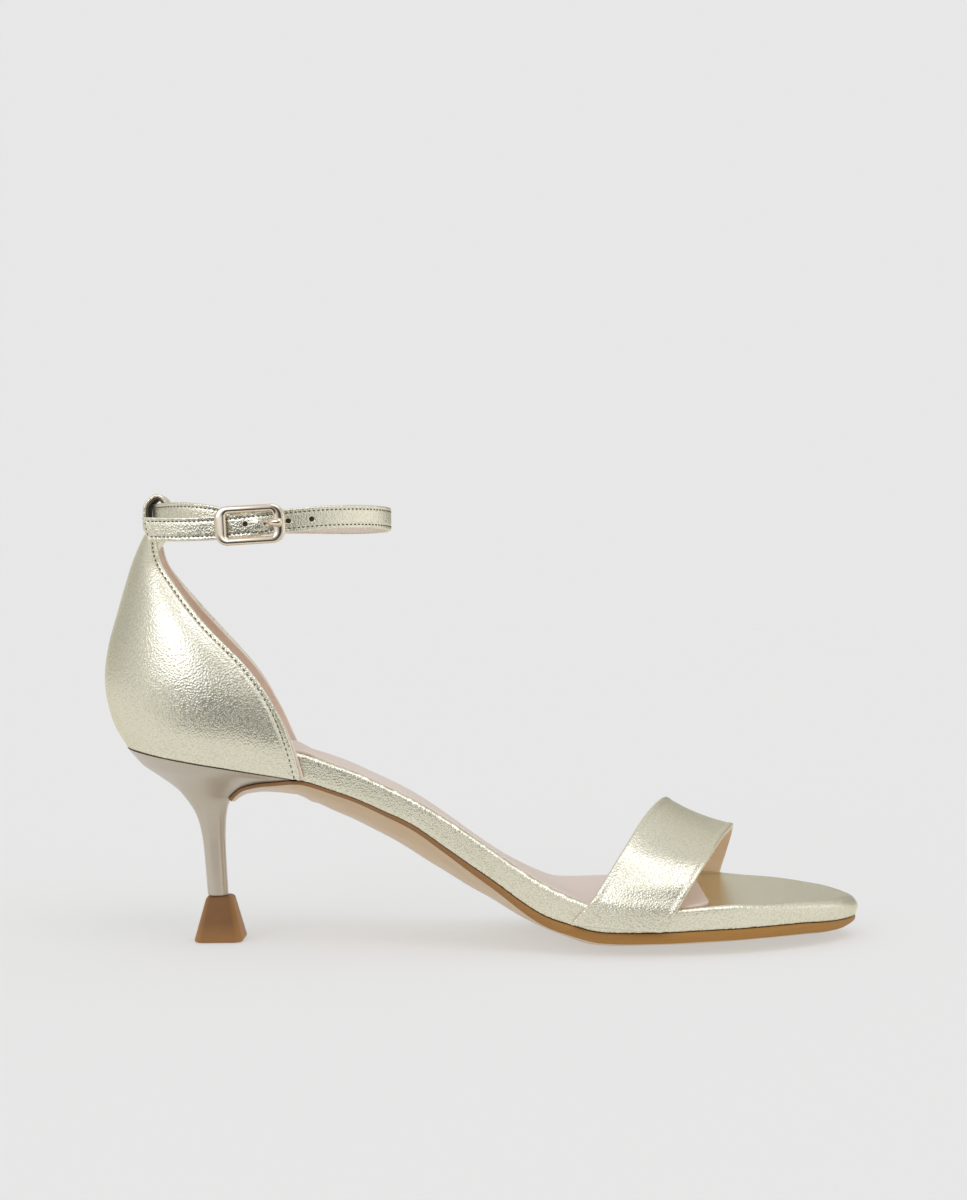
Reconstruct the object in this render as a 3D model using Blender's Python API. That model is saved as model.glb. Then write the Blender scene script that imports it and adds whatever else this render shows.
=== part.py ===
"""A right-foot heeled sandal with a closed heel, an ankle strap and a strap over the forefoot.

Every size is in millimetres and becomes metres when a mesh is made.  +X points to the toe,
+Y to the inner side of the foot, +Z up, and the floor is Z = 0.
"""

import math
from bisect import bisect_right
from collections import namedtuple

import bmesh
import bpy
from mathutils import Matrix, Vector

MM = 0.001
GAP = 0.3

# Driving sizes of the shoe
TOE_X = 118.8
BOARD_HEEL_X = -109.6
SOLE_STATIONS = 42
SOLE_COLUMNS = (-1.0, -0.8, -0.56, -0.3, 0.0, 0.3, 0.56, 0.8, 1.0)

# Plan of the platform: the outer (lateral) and inner (medial) edge at each place along the foot
OutlineRow = namedtuple("OutlineRow", "x lateral medial")
OUTLINE = [
    OutlineRow(-105, -13.5, 13.5),
    OutlineRow(-95, -20.6, 20.6),
    OutlineRow(-84, -22.9, 22.9),
    OutlineRow(-70, -23.1, 22.8),
    OutlineRow(-56, -22.8, 21.6),
    OutlineRow(-40, -23.5, 20.2),
    OutlineRow(-25, -24.2, 19.0),
    OutlineRow(-10, -26.0, 20.0),
    OutlineRow(5, -29.0, 24.0),
    OutlineRow(20, -33.0, 30.0),
    OutlineRow(35, -36.5, 35.0),
    OutlineRow(50, -38.0, 38.5),
    OutlineRow(65, -37.5, 39.5),
    OutlineRow(80, -34.0, 37.5),
    OutlineRow(95, -27.0, 32.0),
    OutlineRow(105, -20.0, 25.5),
    OutlineRow(112, -13.0, 18.0),
    OutlineRow(117, -5.0, 9.5),
]

# Side profile of the sole: underside of the platform at its edge, platform and outsole
# thickness, how far the underside bulges below its edges, the sock's margin, the depth of the
# bed it lies in, and how far the inner edge's profile runs ahead of the outer edge's
SoleRow = namedtuple("SoleRow", "x underside platform outsole crown margin bed skew")
SOLE = [
    SoleRow(-112, 60.9, 6.6, 1.1, 0.0, -2.8, 0.0, 0.0),
    SoleRow(-85, 56.75, 6.8, 1.1, 0.0, -1.8, 0.0, 0.0),
    SoleRow(-60, 52.9, 7.9, 1.1, 0.0, -0.8, 0.0, 7.0),
    SoleRow(-55, 52.0, 8.2, 1.1, 6.0, 2.4, 0.0, 8.0),
    SoleRow(-51, 50.9, 8.1, 1.1, 6.2, 3.0, 0.2, 6.8),
    SoleRow(-47, 49.5, 8.0, 1.1, 6.5, 3.2, 0.6, 5.6),
    SoleRow(-39, 46.7, 7.9, 1.1, 7.0, 3.2, 0.6, 5.2),
    SoleRow(-30, 42.7, 7.7, 1.3, 7.4, 3.2, 0.6, 4.8),
    SoleRow(-21, 38.4, 7.6, 1.6, 7.8, 3.2, 0.6, 4.9),
    SoleRow(-12, 32.2, 8.6, 1.8, 6.6, 3.2, 0.6, 5.7),
    SoleRow(-4, 26.7, 8.9, 2.2, 5.5, 3.2, 0.6, 6.7),
    SoleRow(4, 21.3, 8.9, 2.5, 4.0, 3.2, 0.6, 7.4),
    SoleRow(13, 14.9, 9.3, 2.9, 2.8, 3.2, 0.6, 8.2),
    SoleRow(19, 11.6, 9.2, 3.1, 2.5, 3.2, 0.6, 9.5),
    SoleRow(26, 9.4, 8.2, 3.2, 3.2, 3.2, 0.6, 11.0),
    SoleRow(35, 7.4, 7.4, 3.2, 4.4, 3.2, 0.6, 9.0),
    SoleRow(54, 7.4, 6.8, 3.2, 4.5, 3.2, 0.6, 2.0),
    SoleRow(65, 7.8, 7.0, 3.2, 4.7, 3.2, 0.6, 0.0),
    SoleRow(75, 7.9, 7.2, 3.2, 4.4, 3.2, 0.6, 0.0),
    SoleRow(86, 8.0, 6.4, 3.2, 3.8, 3.2, 0.0, 0.0),
    SoleRow(97, 7.9, 6.2, 3.2, 3.4, 3.2, 0.0, 0.0),
    SoleRow(105, 7.3, 6.3, 3.2, 2.6, 3.2, 0.0, 0.0),
    SoleRow(112, 6.9, 6.3, 2.9, 1.6, 3.2, 0.0, 0.0),
    SoleRow(118, 6.6, 5.6, 1.7, 0.2, 3.2, 0.0, 0.0),
]
SKEW_START_X = -57.0
SKEW_RUN = 12.0
OUTSOLE_INSET = 0.8
SHOULDER = 1.8
LOW_EDGE = 0.6
SOCK_FRONT_X = 70.7
SOCK_CORNER = 11.0
SOCK_THICK = 0.8
SOCK_TURNS = (0, 30, 55, 75, 90)

# Heel sections from the stem's foot up to the seat, each one flat and tilted:
# its front and back points, its half width, the half width of its front edge, the depth of
# its round back, and how far the front edge bulges
HeelRow = namedtuple(
    "HeelRow",
    "level front_x front_z back_x back_z half front_half round_depth bulge",
)
HEEL = [
    HeelRow(0, -81.1, 14.3, -87.2, 14.3, 3.3, 2.8, 2.8, 0.3),
    HeelRow(1, -81.8, 28.4, -88.3, 28.4, 3.3, 2.8, 2.8, 0.3),
    HeelRow(2, -81.9, 35.3, -89.1, 34.1, 3.6, 3.0, 3.2, 0.4),
    HeelRow(3, -81.6, 40.2, -90.5, 39.2, 4.3, 3.4, 4.4, 0.5),
    HeelRow(4, -80.6, 44.2, -93.1, 43.7, 6.0, 4.8, 6.8, 0.7),
    HeelRow(5, -78.3, 47.0, -96.6, 47.9, 9.0, 7.6, 10.0, 1.2),
    HeelRow(6, -74.9, 49.4, -102.0, 52.1, 14.0, 12.8, 16.0, 2.0),
    HeelRow(7, -69.4, 51.1, -107.2, 55.8, 19.5, 18.5, 22.0, 2.9),
    HeelRow(8, -64.2, 51.9, -110.4, 58.9, 23.3, 22.4, 26.0, 3.9),
    HeelRow(9, -58.7, 52.3, -112.0, 60.5, 25.4, 24.0, 28.0, 5.2),
]
HEEL_STEPS = 2
HEEL_STATIONS = 13
TONGUE_LEVEL = 4.25
TONGUE_LAP = 2.5

# Least length over which a heel or counter section narrows from its round back to its front
TAPER_LEAST = 3.0

TOPLIFT_X = -83.2
TOPLIFT_FOOT = 15.6
TOPLIFT_HEAD = 8.2
TOPLIFT_HIGH = 14.0
TOPLIFT_ROUND = 0.9

# Counter sections from the seat up to the collar: back point, front point of the outer side,
# front of the inner side, half width, depth of the round back, and half width in front
CounterRow = namedtuple(
    "CounterRow", "level back_x back_z front_x front_z inner_x half round_depth front_half"
)
COUNTER = [
    CounterRow(0, -112.0, 61.6, -55.0, 52.0, -57.8, 25.5, 28.0, 24.8),
    CounterRow(1, -116.5, 69.8, -57.9, 63.7, -62.5, 28.8, 33.0, 27.0),
    CounterRow(2, -118.9, 81.5, -62.4, 74.6, -67.3, 29.4, 35.0, 26.9),
    CounterRow(3, -117.9, 92.5, -70.2, 86.1, -74.2, 28.1, 32.0, 25.6),
    CounterRow(4, -114.4, 105.2, -83.4, 99.6, -85.8, 24.8, 24.0, 22.9),
    CounterRow(5, -110.8, 117.2, -94.4, 113.2, -97.2, 18.9, 13.5, 17.7),
    CounterRow(6, -108.2, 124.0, -99.0, 120.5, -101.6, 14.6, 8.6, 13.3),
    CounterRow(7, -106.0, 128.8, -100.8, 126.5, -102.4, 9.2, 5.0, 8.4),
]
COUNTER_WALL = 2.0
COUNTER_STEPS = 2
COUNTER_COLUMNS = 26

# Forefoot strap, from its outer foot over the crest to its inner foot: the back and front
# edge of each row, and its place across the sole, where 1 is the platform's edge
VampRow = namedtuple("VampRow", "row back_x back_z front_x front_z side")
VAMP = [
    VampRow(0, 25.5, 9.6, 53.2, 7.6, -1.0),
    VampRow(1, 32.2, 17.2, 57.7, 14.2, -1.0),
    VampRow(1.3, 33.4, 18.9, 59.5, 16.9, -0.98),
    VampRow(2, 36.0, 22.8, 63.4, 23.0, -0.935),
    VampRow(3, 42.7, 32.3, 68.3, 29.0, -0.78),
    VampRow(4, 50.3, 40.8, 73.9, 33.2, -0.44),
    VampRow(5, 57.0, 43.9, 79.4, 34.8, 0.0),
    VampRow(6, 60.5, 40.8, 81.8, 33.0, 0.44),
    VampRow(7, 60.5, 32.0, 82.6, 28.6, 0.78),
    VampRow(8, 57.0, 22.8, 81.7, 22.0, 0.935),
    VampRow(9, 54.5, 15.6, 80.0, 14.6, 1.0),
    VampRow(10, 53.0, 8.2, 79.8, 8.3, 1.0),
]
VAMP_WALL = 1.8
VAMP_STEPS = 3
VAMP_COLUMNS = 6
VAMP_HOLLOW = 1.3

# Buckle: a curved frame with a bar across its middle, dropped behind the strap's free end; the
# frame's middle lies a little beside and in front of the bar's
BUCKLE_X = -69.2
BUCKLE_Y = -27.2
BUCKLE_Z = 130.2
BUCKLE_TILT = math.radians(3)
BUCKLE_LEAN = math.radians(4)
BUCKLE_SHIFT = (-0.7, -0.4, 0.0)
BUCKLE_LONG = 21.5
BUCKLE_HIGH = 12.0
BUCKLE_END = 3.6
BUCKLE_RAIL = 2.25
BUCKLE_THICK = 1.6
BUCKLE_CURVE = 75.0
BUCKLE_ROUND = 4.0
BUCKLE_INNER_ROUND = 1.2
BUCKLE_CORNER_STEPS = 6
RailRow = namedtuple("RailRow", "share out")
BUCKLE_PROFILE = [
    RailRow(0.0, 0.5),
    RailRow(0.25, -0.3),
    RailRow(0.5, -0.5),
    RailRow(0.75, -0.3),
    RailRow(1.0, 0.5),
]
BAR_RADIUS = 0.7
BAR_DROP = 3.6
BAR_BEND = 0.5

# Prong: angles of its curl round the bar, then places measured from the bar's middle
PRONG_RADIUS = 0.6
PRONG_CURL = (130, 90, 50, 10)
ProngPoint = namedtuple("ProngPoint", "x y z radius")
PRONG_ROUTE = [
    ProngPoint(3.4, -0.45, 0.3, 0.6),
    ProngPoint(4.5, -2.0, 0.5, 0.65),
    ProngPoint(5.2, -4.5, 0.6, 0.75),
    ProngPoint(6.2, -5.5, 0.6, 1.0),
    ProngPoint(7.6, -5.75, 0.6, 1.25),
    ProngPoint(8.8, -5.75, 0.6, 1.2),
    ProngPoint(9.5, -5.7, 0.6, 0.7),
]

# Ankle strap: places along its middle line, from the fold at the buckle's bar round the
# heel and the ankle, through the buckle to the free end
STRAP_WIDE = 7.2
STRAP_THICK = 1.5
STRAP_STEP = 2.6
CURVE_SAMPLES = 12
STRAP_TIP_CUT = 1.8
FOLD_RADIUS = BAR_RADIUS + GAP + STRAP_THICK / 2
FOLD_ANGLES = range(-5, 96, 20)
StrapPoint = namedtuple("StrapPoint", "x y z")
STRAP_ROUTE = [
    StrapPoint(-76.0, -21.4, 131.2),
    StrapPoint(-82.0, -20.9, 132.8),
    StrapPoint(-89.0, -18.4, 133.8),
    StrapPoint(-95.5, -14.2, 134.1),
    StrapPoint(-100.6, -7.6, 134.1),
    StrapPoint(-102.9, 0.0, 134.1),
    StrapPoint(-100.6, 7.6, 134.1),
    StrapPoint(-95.0, 14.6, 134.0),
    StrapPoint(-85.0, 19.6, 133.6),
    StrapPoint(-70.0, 22.2, 132.9),
    StrapPoint(-55.0, 21.4, 132.6),
    StrapPoint(-42.0, 17.0, 132.2),
    StrapPoint(-32.6, 9.5, 132.2),
    StrapPoint(-29.0, 0.0, 132.5),
    StrapPoint(-31.6, -8.5, 132.8),
    StrapPoint(-39.0, -16.2, 132.8),
    StrapPoint(-49.0, -21.5, 132.3),
    StrapPoint(-60.0, -24.7, 131.2),
    StrapPoint(-69.5, -25.5, 130.2),
    StrapPoint(-79.0, -24.7, 129.4),
    StrapPoint(-88.0, -23.2, 129.1),
    StrapPoint(-96.0, -20.8, 129.2),
    StrapPoint(-104.0, -17.4, 129.5),
]
HolePlace = namedtuple("HolePlace", "x y z radius")
HOLE_PLACES = [
    HolePlace(-71.4, -25.4, 130.4, 0.9),
    HolePlace(-64.9, -25.2, 130.6, 1.8),
    HolePlace(-58.4, -24.3, 131.3, 0.9),
    HolePlace(-51.4, -22.4, 131.9, 0.9),
]
PUNCH_REACH = 1.4
FOLD_SLOT = 2.4
FOLD_SLOT_X = (-3.2, 3.2)
FOLD_SLOT_Y = (-0.9, 3.4)

# Heel loop: places along its middle line in the plane Y = 0
LOOP_WIDE = 9.4
LOOP_THICK = 1.7
LOOP_STEP = 1.6
LoopPoint = namedtuple("LoopPoint", "x y z")
LOOP_ROUTE = [
    LoopPoint(-105.3, 0.0, 129.3),
    LoopPoint(-105.4, 0.0, 134.0),
    LoopPoint(-104.9, 0.0, 137.6),
    LoopPoint(-101.8, 0.0, 140.2),
    LoopPoint(-99.3, 0.0, 138.0),
    LoopPoint(-98.9, 0.0, 133.5),
    LoopPoint(-100.2, 0.0, 128.5),
    LoopPoint(-103.0, 0.0, 124.0),
    LoopPoint(-105.4, 0.0, 120.5),
    LoopPoint(-106.0, 0.0, 118.0),
]


def read(rows, field, at):
    """Smooth value of one column of a table, at a place along the table's first column."""
    keys = [row[0] for row in rows]
    values = [getattr(row, field) for row in rows]
    at = min(max(at, keys[0]), keys[-1])
    i = min(max(bisect_right(keys, at) - 1, 0), len(keys) - 2)

    def slope(k):
        low, high = max(k - 1, 0), min(k + 1, len(keys) - 1)
        return (values[high] - values[low]) / (keys[high] - keys[low])

    span = keys[i + 1] - keys[i]
    t = (at - keys[i]) / span
    ease_in = (1 + 2 * t) * (1 - t) ** 2
    ease_out = t * t * (3 - 2 * t)
    bend_in = t * (1 - t) ** 2 * span * slope(i)
    bend_out = t * t * (t - 1) * span * slope(i + 1)
    return values[i] * ease_in + values[i + 1] * ease_out + bend_in + bend_out


def lerp(a, b, t):
    return a + (b - a) * t


def material(name, colour, roughness, metallic):
    """A plain material of one colour."""
    made = bpy.data.materials.new(name)
    made.use_nodes = True
    shader = made.node_tree.nodes["Principled BSDF"]
    shader.inputs["Base Color"].default_value = (*colour, 1.0)
    shader.inputs["Roughness"].default_value = roughness
    shader.inputs["Metallic"].default_value = metallic
    return made


def mesh_object(name, points, faces, finish, sharp_angle=35):
    """A closed mesh with its faces turned out, from points in millimetres."""
    mesh = bpy.data.meshes.new(name)
    mesh.from_pydata([tuple(Vector(p) * MM) for p in points], [], faces)
    shape = bmesh.new()
    shape.from_mesh(mesh)
    bmesh.ops.recalc_face_normals(shape, faces=shape.faces)
    shape.to_mesh(mesh)
    shape.free()
    mesh.shade_smooth()
    mesh.set_sharp_from_angle(angle=math.radians(sharp_angle))
    mesh.materials.append(finish)
    made = bpy.data.objects.new(name, mesh)
    bpy.context.collection.objects.link(made)
    return made


def rim(grid):
    """The points round the edge of a grid, in order."""
    last_row, last_column = len(grid) - 1, len(grid[0]) - 1
    loop = [grid[i][0] for i in range(last_row + 1)]
    loop += [grid[last_row][j] for j in range(1, last_column + 1)]
    loop += [grid[i][last_column] for i in range(last_row - 1, -1, -1)]
    loop += [grid[0][j] for j in range(last_column - 1, 0, -1)]
    return loop


def solid(name, lower, upper, finish, loops=()):
    """A closed body between two grids of points, through any loops between their edges."""
    points, faces = [], []
    rows, columns = len(lower), len(lower[0])

    def add_sheet(grid):
        index = [[len(points) + i * columns + j for j in range(columns)] for i in range(rows)]
        points.extend(point for row in grid for point in row)
        for i in range(rows - 1):
            for j in range(columns - 1):
                faces.append((index[i][j], index[i + 1][j], index[i + 1][j + 1], index[i][j + 1]))
        return rim(index)

    edges = [add_sheet(lower)]
    for loop in loops:
        edges.append(list(range(len(points), len(points) + len(loop))))
        points.extend(loop)
    edges.append(add_sheet(upper))
    for below, above in zip(edges, edges[1:]):
        for k in range(len(below)):
            n = (k + 1) % len(below)
            faces.append((below[k], below[n], above[n], above[k]))
    return mesh_object(name, points, faces, finish)


def offset_sheet(grid, distance):
    """The grid moved along its own normals."""
    rows, columns = len(grid), len(grid[0])
    moved = []
    for i in range(rows):
        line = []
        for j in range(columns):
            along = grid[min(i + 1, rows - 1)][j] - grid[max(i - 1, 0)][j]
            across = grid[i][min(j + 1, columns - 1)] - grid[i][max(j - 1, 0)]
            line.append(grid[i][j] + along.cross(across).normalized() * distance)
        moved.append(line)
    return moved


def smooth_route(route, step):
    """Evenly spaced points on the smooth curve through a route's points."""
    dense = []
    for i in range(len(route) - 1):
        before = route[max(i - 1, 0)]
        start, end = route[i], route[i + 1]
        after = route[min(i + 2, len(route) - 1)]
        for k in range(CURVE_SAMPLES):
            t = k / CURVE_SAMPLES
            pull = (end - before) * (t * (1 - t) ** 2 / 2) + (after - start) * (t * t * (t - 1) / 2)
            dense.append(start * ((1 + 2 * t) * (1 - t) ** 2) + end * (t * t * (3 - 2 * t)) + pull)
    dense.append(route[-1])
    travelled = [0.0]
    for a, b in zip(dense, dense[1:]):
        travelled.append(travelled[-1] + (b - a).length)
    count = round(travelled[-1] / step)
    even = []
    for n in range(count + 1):
        goal = travelled[-1] * n / count
        k = min(bisect_right(travelled, goal) - 1, len(dense) - 2)
        even.append(dense[k].lerp(dense[k + 1], (goal - travelled[k]) / (travelled[k + 1] - travelled[k])))
    return even


def ribbon_sheets(middle, across, wide, thick, columns=3):
    """The two faces of a strap along a middle line, with its width along one direction."""
    faces = ([], [])
    for i, point in enumerate(middle):
        along = middle[min(i + 1, len(middle) - 1)] - middle[max(i - 1, 0)]
        out = along.cross(across).normalized()
        for face, side in zip(faces, (-0.5, 0.5)):
            edge = point + out * (thick * side)
            face.append([edge + across * (wide * (j / (columns - 1) - 0.5)) for j in range(columns)])
    return faces


def tube(name, middle, radii, finish, sides=10):
    """A round rod along a line, with one radius for each of its points."""
    points, faces = [], []
    up = Vector((0, 0, 1))
    for i, (centre, radius) in enumerate(zip(middle, radii)):
        along = (middle[min(i + 1, len(middle) - 1)] - middle[max(i - 1, 0)]).normalized()
        side = along.cross(up) if abs(along.z) < 0.9 else along.cross(Vector((1, 0, 0)))
        side.normalize()
        top = side.cross(along)
        for k in range(sides):
            turn = 2 * math.pi * k / sides
            points.append(centre + (side * math.cos(turn) + top * math.sin(turn)) * radius)
    for i in range(len(middle) - 1):
        for k in range(sides):
            n = (k + 1) % sides
            faces.append((i * sides + k, i * sides + n, (i + 1) * sides + n, (i + 1) * sides + k))
    faces.append(tuple(range(sides)))
    faces.append(tuple(range(len(points) - sides, len(points))))
    return mesh_object(name, points, faces, finish)


def combine(target, tool, operation):
    """Join a hidden helper shape to an object, or cut it out."""
    tool.hide_render = True
    tool.hide_viewport = True
    tool.display_type = "WIRE"
    change = target.modifiers.new(operation.lower(), "BOOLEAN")
    change.operation = operation
    change.solver = "EXACT"
    change.object = tool


def rounding(x):
    """Share of its full width that the plan has at x, which closes both ends in an arc."""
    place = (2 * x - TOE_X - BOARD_HEEL_X) / (TOE_X - BOARD_HEEL_X)
    return math.sqrt(max(1 - place * place, 0.0))


PlanRow = namedtuple("PlanRow", "x centre fullness")
PLAN = [
    PlanRow(r.x, (r.medial + r.lateral) / 2, (r.medial - r.lateral) / 2 / rounding(r.x))
    for r in OUTLINE
]


def plan_half(x):
    return read(PLAN, "fullness", x) * rounding(x)


def station_at(x):
    """Share of the way from heel to toe, closer spaced at both ends."""
    return math.acos(1 - 2 * (x - BOARD_HEEL_X) / (TOE_X - BOARD_HEEL_X)) / math.pi


def plan_point(s, side, inset=0.0):
    """Point of the platform's outline, s from heel to toe, moved in from the edge."""

    def edge(at):
        x = lerp(BOARD_HEEL_X, TOE_X, (1 - math.cos(math.pi * at)) / 2)
        return Vector((x, read(PLAN, "centre", x) + side * plan_half(x), 0))

    step = 0.004
    along = (edge(s + step) - edge(s - step)).normalized()
    return edge(s) + Vector((along.y, -along.x, 0)) * (inset * side)


def plan_grid(stations, columns, inset, height):
    """Grid over the plan; inset(x) and height(x, v) shape it, v from outer to inner edge."""
    grid = []
    for s in stations:
        first = plan_point(s, -1)
        outer = plan_point(s, -1, inset(first.x))
        inner = plan_point(s, 1, inset(first.x))
        row = []
        for v in columns:
            point = outer.lerp(inner, (v + 1) / 2)
            point.z = height(point.x, v)
            row.append(point)
        grid.append(row)
    return grid


def ahead(x, v):
    """Place to read the side profile at, further on towards the inner edge."""
    return x + read(SOLE, "skew", x) * (v + 1) / 2


def sole_line(x, v):
    """Height of the board's lower edge, level across the foot where it meets the heel."""
    past_heel = min(max((x - SKEW_START_X) / SKEW_RUN, 0), 1)
    return read(SOLE, "underside", lerp(x, ahead(x, v), past_heel))


def underside(x, v):
    """Underside of the platform, lower in the middle than at its edges."""
    return sole_line(x, v) - read(SOLE, "crown", x) * (1 - v * v)


def topside(x, v):
    at = ahead(x, v)
    return read(SOLE, "underside", at) + read(SOLE, "platform", at)


def sock_bed(x, v):
    return topside(x, v) - read(SOLE, "bed", x)


def sole_stations(count):
    return [(i + 0.5) / count for i in range(count)]


def make_platform(finish):
    """Leather-wrapped board: crowned underside, upright sides and a rounded top edge."""
    stations = sole_stations(SOLE_STATIONS)

    def level(inset, height):
        return plan_grid(stations, SOLE_COLUMNS, lambda x: inset, height)

    loops = [rim(level(0.0, lambda x, v: underside(x, v) + LOW_EDGE))]
    for degrees in (0, 30, 60, 90):
        turn = math.radians(degrees)
        drop = SHOULDER * (1 - math.sin(turn))
        loops.append(rim(level(SHOULDER * (1 - math.cos(turn)), lambda x, v: topside(x, v) - drop)))
    bed = level(SHOULDER + LOW_EDGE, sock_bed)
    return solid("platform", level(OUTSOLE_INSET, underside), bed, finish, loops)


def make_insole(finish):
    """Thin sock on the platform, rounded off in front behind the toes."""
    stations = []
    for s in sole_stations(SOLE_STATIONS):
        if plan_point(s, -1).x < SOCK_FRONT_X - SOCK_CORNER:
            stations.append(s)
    for degrees in SOCK_TURNS:
        reach = SOCK_CORNER * (1 - math.sin(math.radians(degrees)))
        stations.append(station_at(SOCK_FRONT_X - reach))

    def margin(x):
        into_corner = min(max(x - (SOCK_FRONT_X - SOCK_CORNER), 0) / SOCK_CORNER, 1)
        corner = SOCK_CORNER * (1 - math.sqrt(1 - into_corner * into_corner))
        return read(SOLE, "margin", x) + corner

    def sheet(rise):
        return plan_grid(stations, SOLE_COLUMNS, margin, lambda x, v: sock_bed(x, v) + rise)

    return solid("insole", sheet(GAP), sheet(GAP + SOCK_THICK), finish)


def tongue_levels():
    top = HEEL[-1].level
    count = round((top - TONGUE_LEVEL) * HEEL_STEPS)
    return [lerp(TONGUE_LEVEL, top, i / count) for i in range(count + 1)]


def breast_point(level, v, depth):
    """Point on the front of the heel, or a depth in front of it, v from outer to inner edge."""
    step = 0.05
    ahead, behind = min(level + step, HEEL[-1].level), level - step
    rise = Vector((
        read(HEEL, "front_x", ahead) - read(HEEL, "front_x", behind),
        0,
        read(HEEL, "front_z", ahead) - read(HEEL, "front_z", behind),
    )).normalized()
    out = Vector((rise.z, 0, -rise.x))
    edge = Vector((
        read(HEEL, "front_x", level),
        v * read(HEEL, "front_half", level),
        read(HEEL, "front_z", level),
    ))
    return edge + out * (read(HEEL, "bulge", level) * (1 - v * v) + depth)


def make_outsole(finish):
    """Sole sheet under the platform, with the tongue that runs down the front of the heel."""
    front = HEEL[-1].front_x + TONGUE_LAP
    stations = [s for s in sole_stations(SOLE_STATIONS) if plan_point(s, -1).x > front]

    def sheet(deep):
        grid = []
        for level in tongue_levels():
            depth = GAP + deep * SOLE[0].outsole
            grid.append([breast_point(level, v, depth) for v in SOLE_COLUMNS])
        for s in stations:
            outer, inner = plan_point(s, -1, OUTSOLE_INSET), plan_point(s, 1, OUTSOLE_INSET)
            row = []
            for v in SOLE_COLUMNS:
                point = outer.lerp(inner, (v + 1) / 2)
                under = underside(point.x, v) - GAP - deep * read(SOLE, "outsole", point.x)
                point.z = max(under, 0.0)
                row.append(point)
            grid.append(row)
        return grid

    return solid("outsole", sheet(1), sheet(0), finish)


def round_back(distance, depth, row):
    """Half width of a heel section at a distance from its back: a half ellipse, then a taper."""
    if distance < row["round_depth"]:
        across = 1 - distance / row["round_depth"]
        return row["half"] * math.sqrt(max(1 - across * across, 0))
    along = (distance - row["round_depth"]) / max(depth - row["round_depth"], TAPER_LEAST)
    return lerp(row["half"], row["front_half"], along * along)


def section(rows, level):
    return {field: read(rows, field, level) for field in rows[0]._fields[1:]}


def section_point(row, q, v, front="front_x"):
    """Point of a tilted heel section: q from its back to its front, v across it."""
    depth = row[front] - row["back_x"]
    half = round_back(depth * q * q, depth, row)
    x = lerp(row["back_x"], row[front], q * q)
    z = lerp(row["back_z"], row["front_z"], q * q)
    return Vector((x, v * half, z))


def make_heel(finish):
    """Slim stem that flares out to the seat, its front following the outsole's tongue."""
    count = (len(HEEL) - 1) * HEEL_STEPS
    places = [(i + 0.5) / (HEEL_STATIONS - 0.5) for i in range(HEEL_STATIONS)]

    def cut(level):
        row = section(HEEL, level)
        grid = [[section_point(row, q, v) for v in SOLE_COLUMNS] for q in places]
        grid[-1] = [breast_point(level, v, 0) for v in SOLE_COLUMNS]
        return grid

    cuts = [cut(HEEL[-1].level * i / count) for i in range(count + 1)]
    return solid("heel", cuts[0], cuts[-1], finish, [rim(grid) for grid in cuts[1:-1]])


def make_toplift(finish):
    """Flared square block with rounded edges."""
    mesh = bpy.data.meshes.new("toplift")
    shape = bmesh.new()
    bmesh.ops.create_cone(
        shape,
        cap_ends=True,
        segments=4,
        radius1=TOPLIFT_FOOT / math.sqrt(2) * MM,
        radius2=TOPLIFT_HEAD / math.sqrt(2) * MM,
        depth=TOPLIFT_HIGH * MM,
        matrix=Matrix.Rotation(math.radians(45), 4, "Z"),
    )
    bmesh.ops.bevel(
        shape,
        geom=shape.edges[:],
        offset=TOPLIFT_ROUND * MM,
        segments=3,
        profile=0.5,
        affect="EDGES",
    )
    shape.to_mesh(mesh)
    shape.free()
    mesh.shade_smooth()
    mesh.materials.append(finish)
    made = bpy.data.objects.new("toplift", mesh)
    made.location = Vector((TOPLIFT_X, 0, TOPLIFT_HIGH / 2)) * MM
    bpy.context.collection.objects.link(made)
    return made


def make_counter(finish):
    """Closed heel of the upper: a wall round the back of the foot."""
    count = (len(COUNTER) - 1) * COUNTER_STEPS
    outer = []
    for i in range(count + 1):
        row = section(COUNTER, COUNTER[-1].level * i / count)
        line = []
        for j in range(COUNTER_COLUMNS + 1):
            u = 2 * j / COUNTER_COLUMNS - 1
            front = "inner_x" if u > 0 else "front_x"
            line.append(section_point(row, abs(u), math.copysign(1, u), front))
        outer.append(line)
    return solid("counter", outer, offset_sheet(outer, -COUNTER_WALL), finish)


def vamp_point(row, along):
    """Outer face of the forefoot strap, along it from its back edge to its front edge."""
    at = {field: read(VAMP, field, row) for field in VampRow._fields[1:]}
    x = lerp(at["back_x"], at["front_x"], along)
    z = lerp(at["back_z"], at["front_z"], along)
    half = plan_half(x) + VAMP_WALL + GAP
    arch = math.sin(math.pi * row / VAMP[-1].row)
    z -= VAMP_HOLLOW * arch * 4 * along * (1 - along)
    return Vector((x, read(PLAN, "centre", x) + at["side"] * half, z))


def make_vamp_strap(finish):
    """Wide strap over the forefoot, its feet tucked down the platform's sides."""
    count = VAMP[-1].row * VAMP_STEPS
    outer = []
    for i in range(count + 1):
        row = VAMP[-1].row * i / count
        outer.append([vamp_point(row, j / VAMP_COLUMNS) for j in range(VAMP_COLUMNS + 1)])
    return solid("vamp_strap", outer, offset_sheet(outer, VAMP_WALL), finish)


def bar_centre():
    return Vector((BUCKLE_X, BUCKLE_Y + BAR_DROP, BUCKLE_Z))


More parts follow.
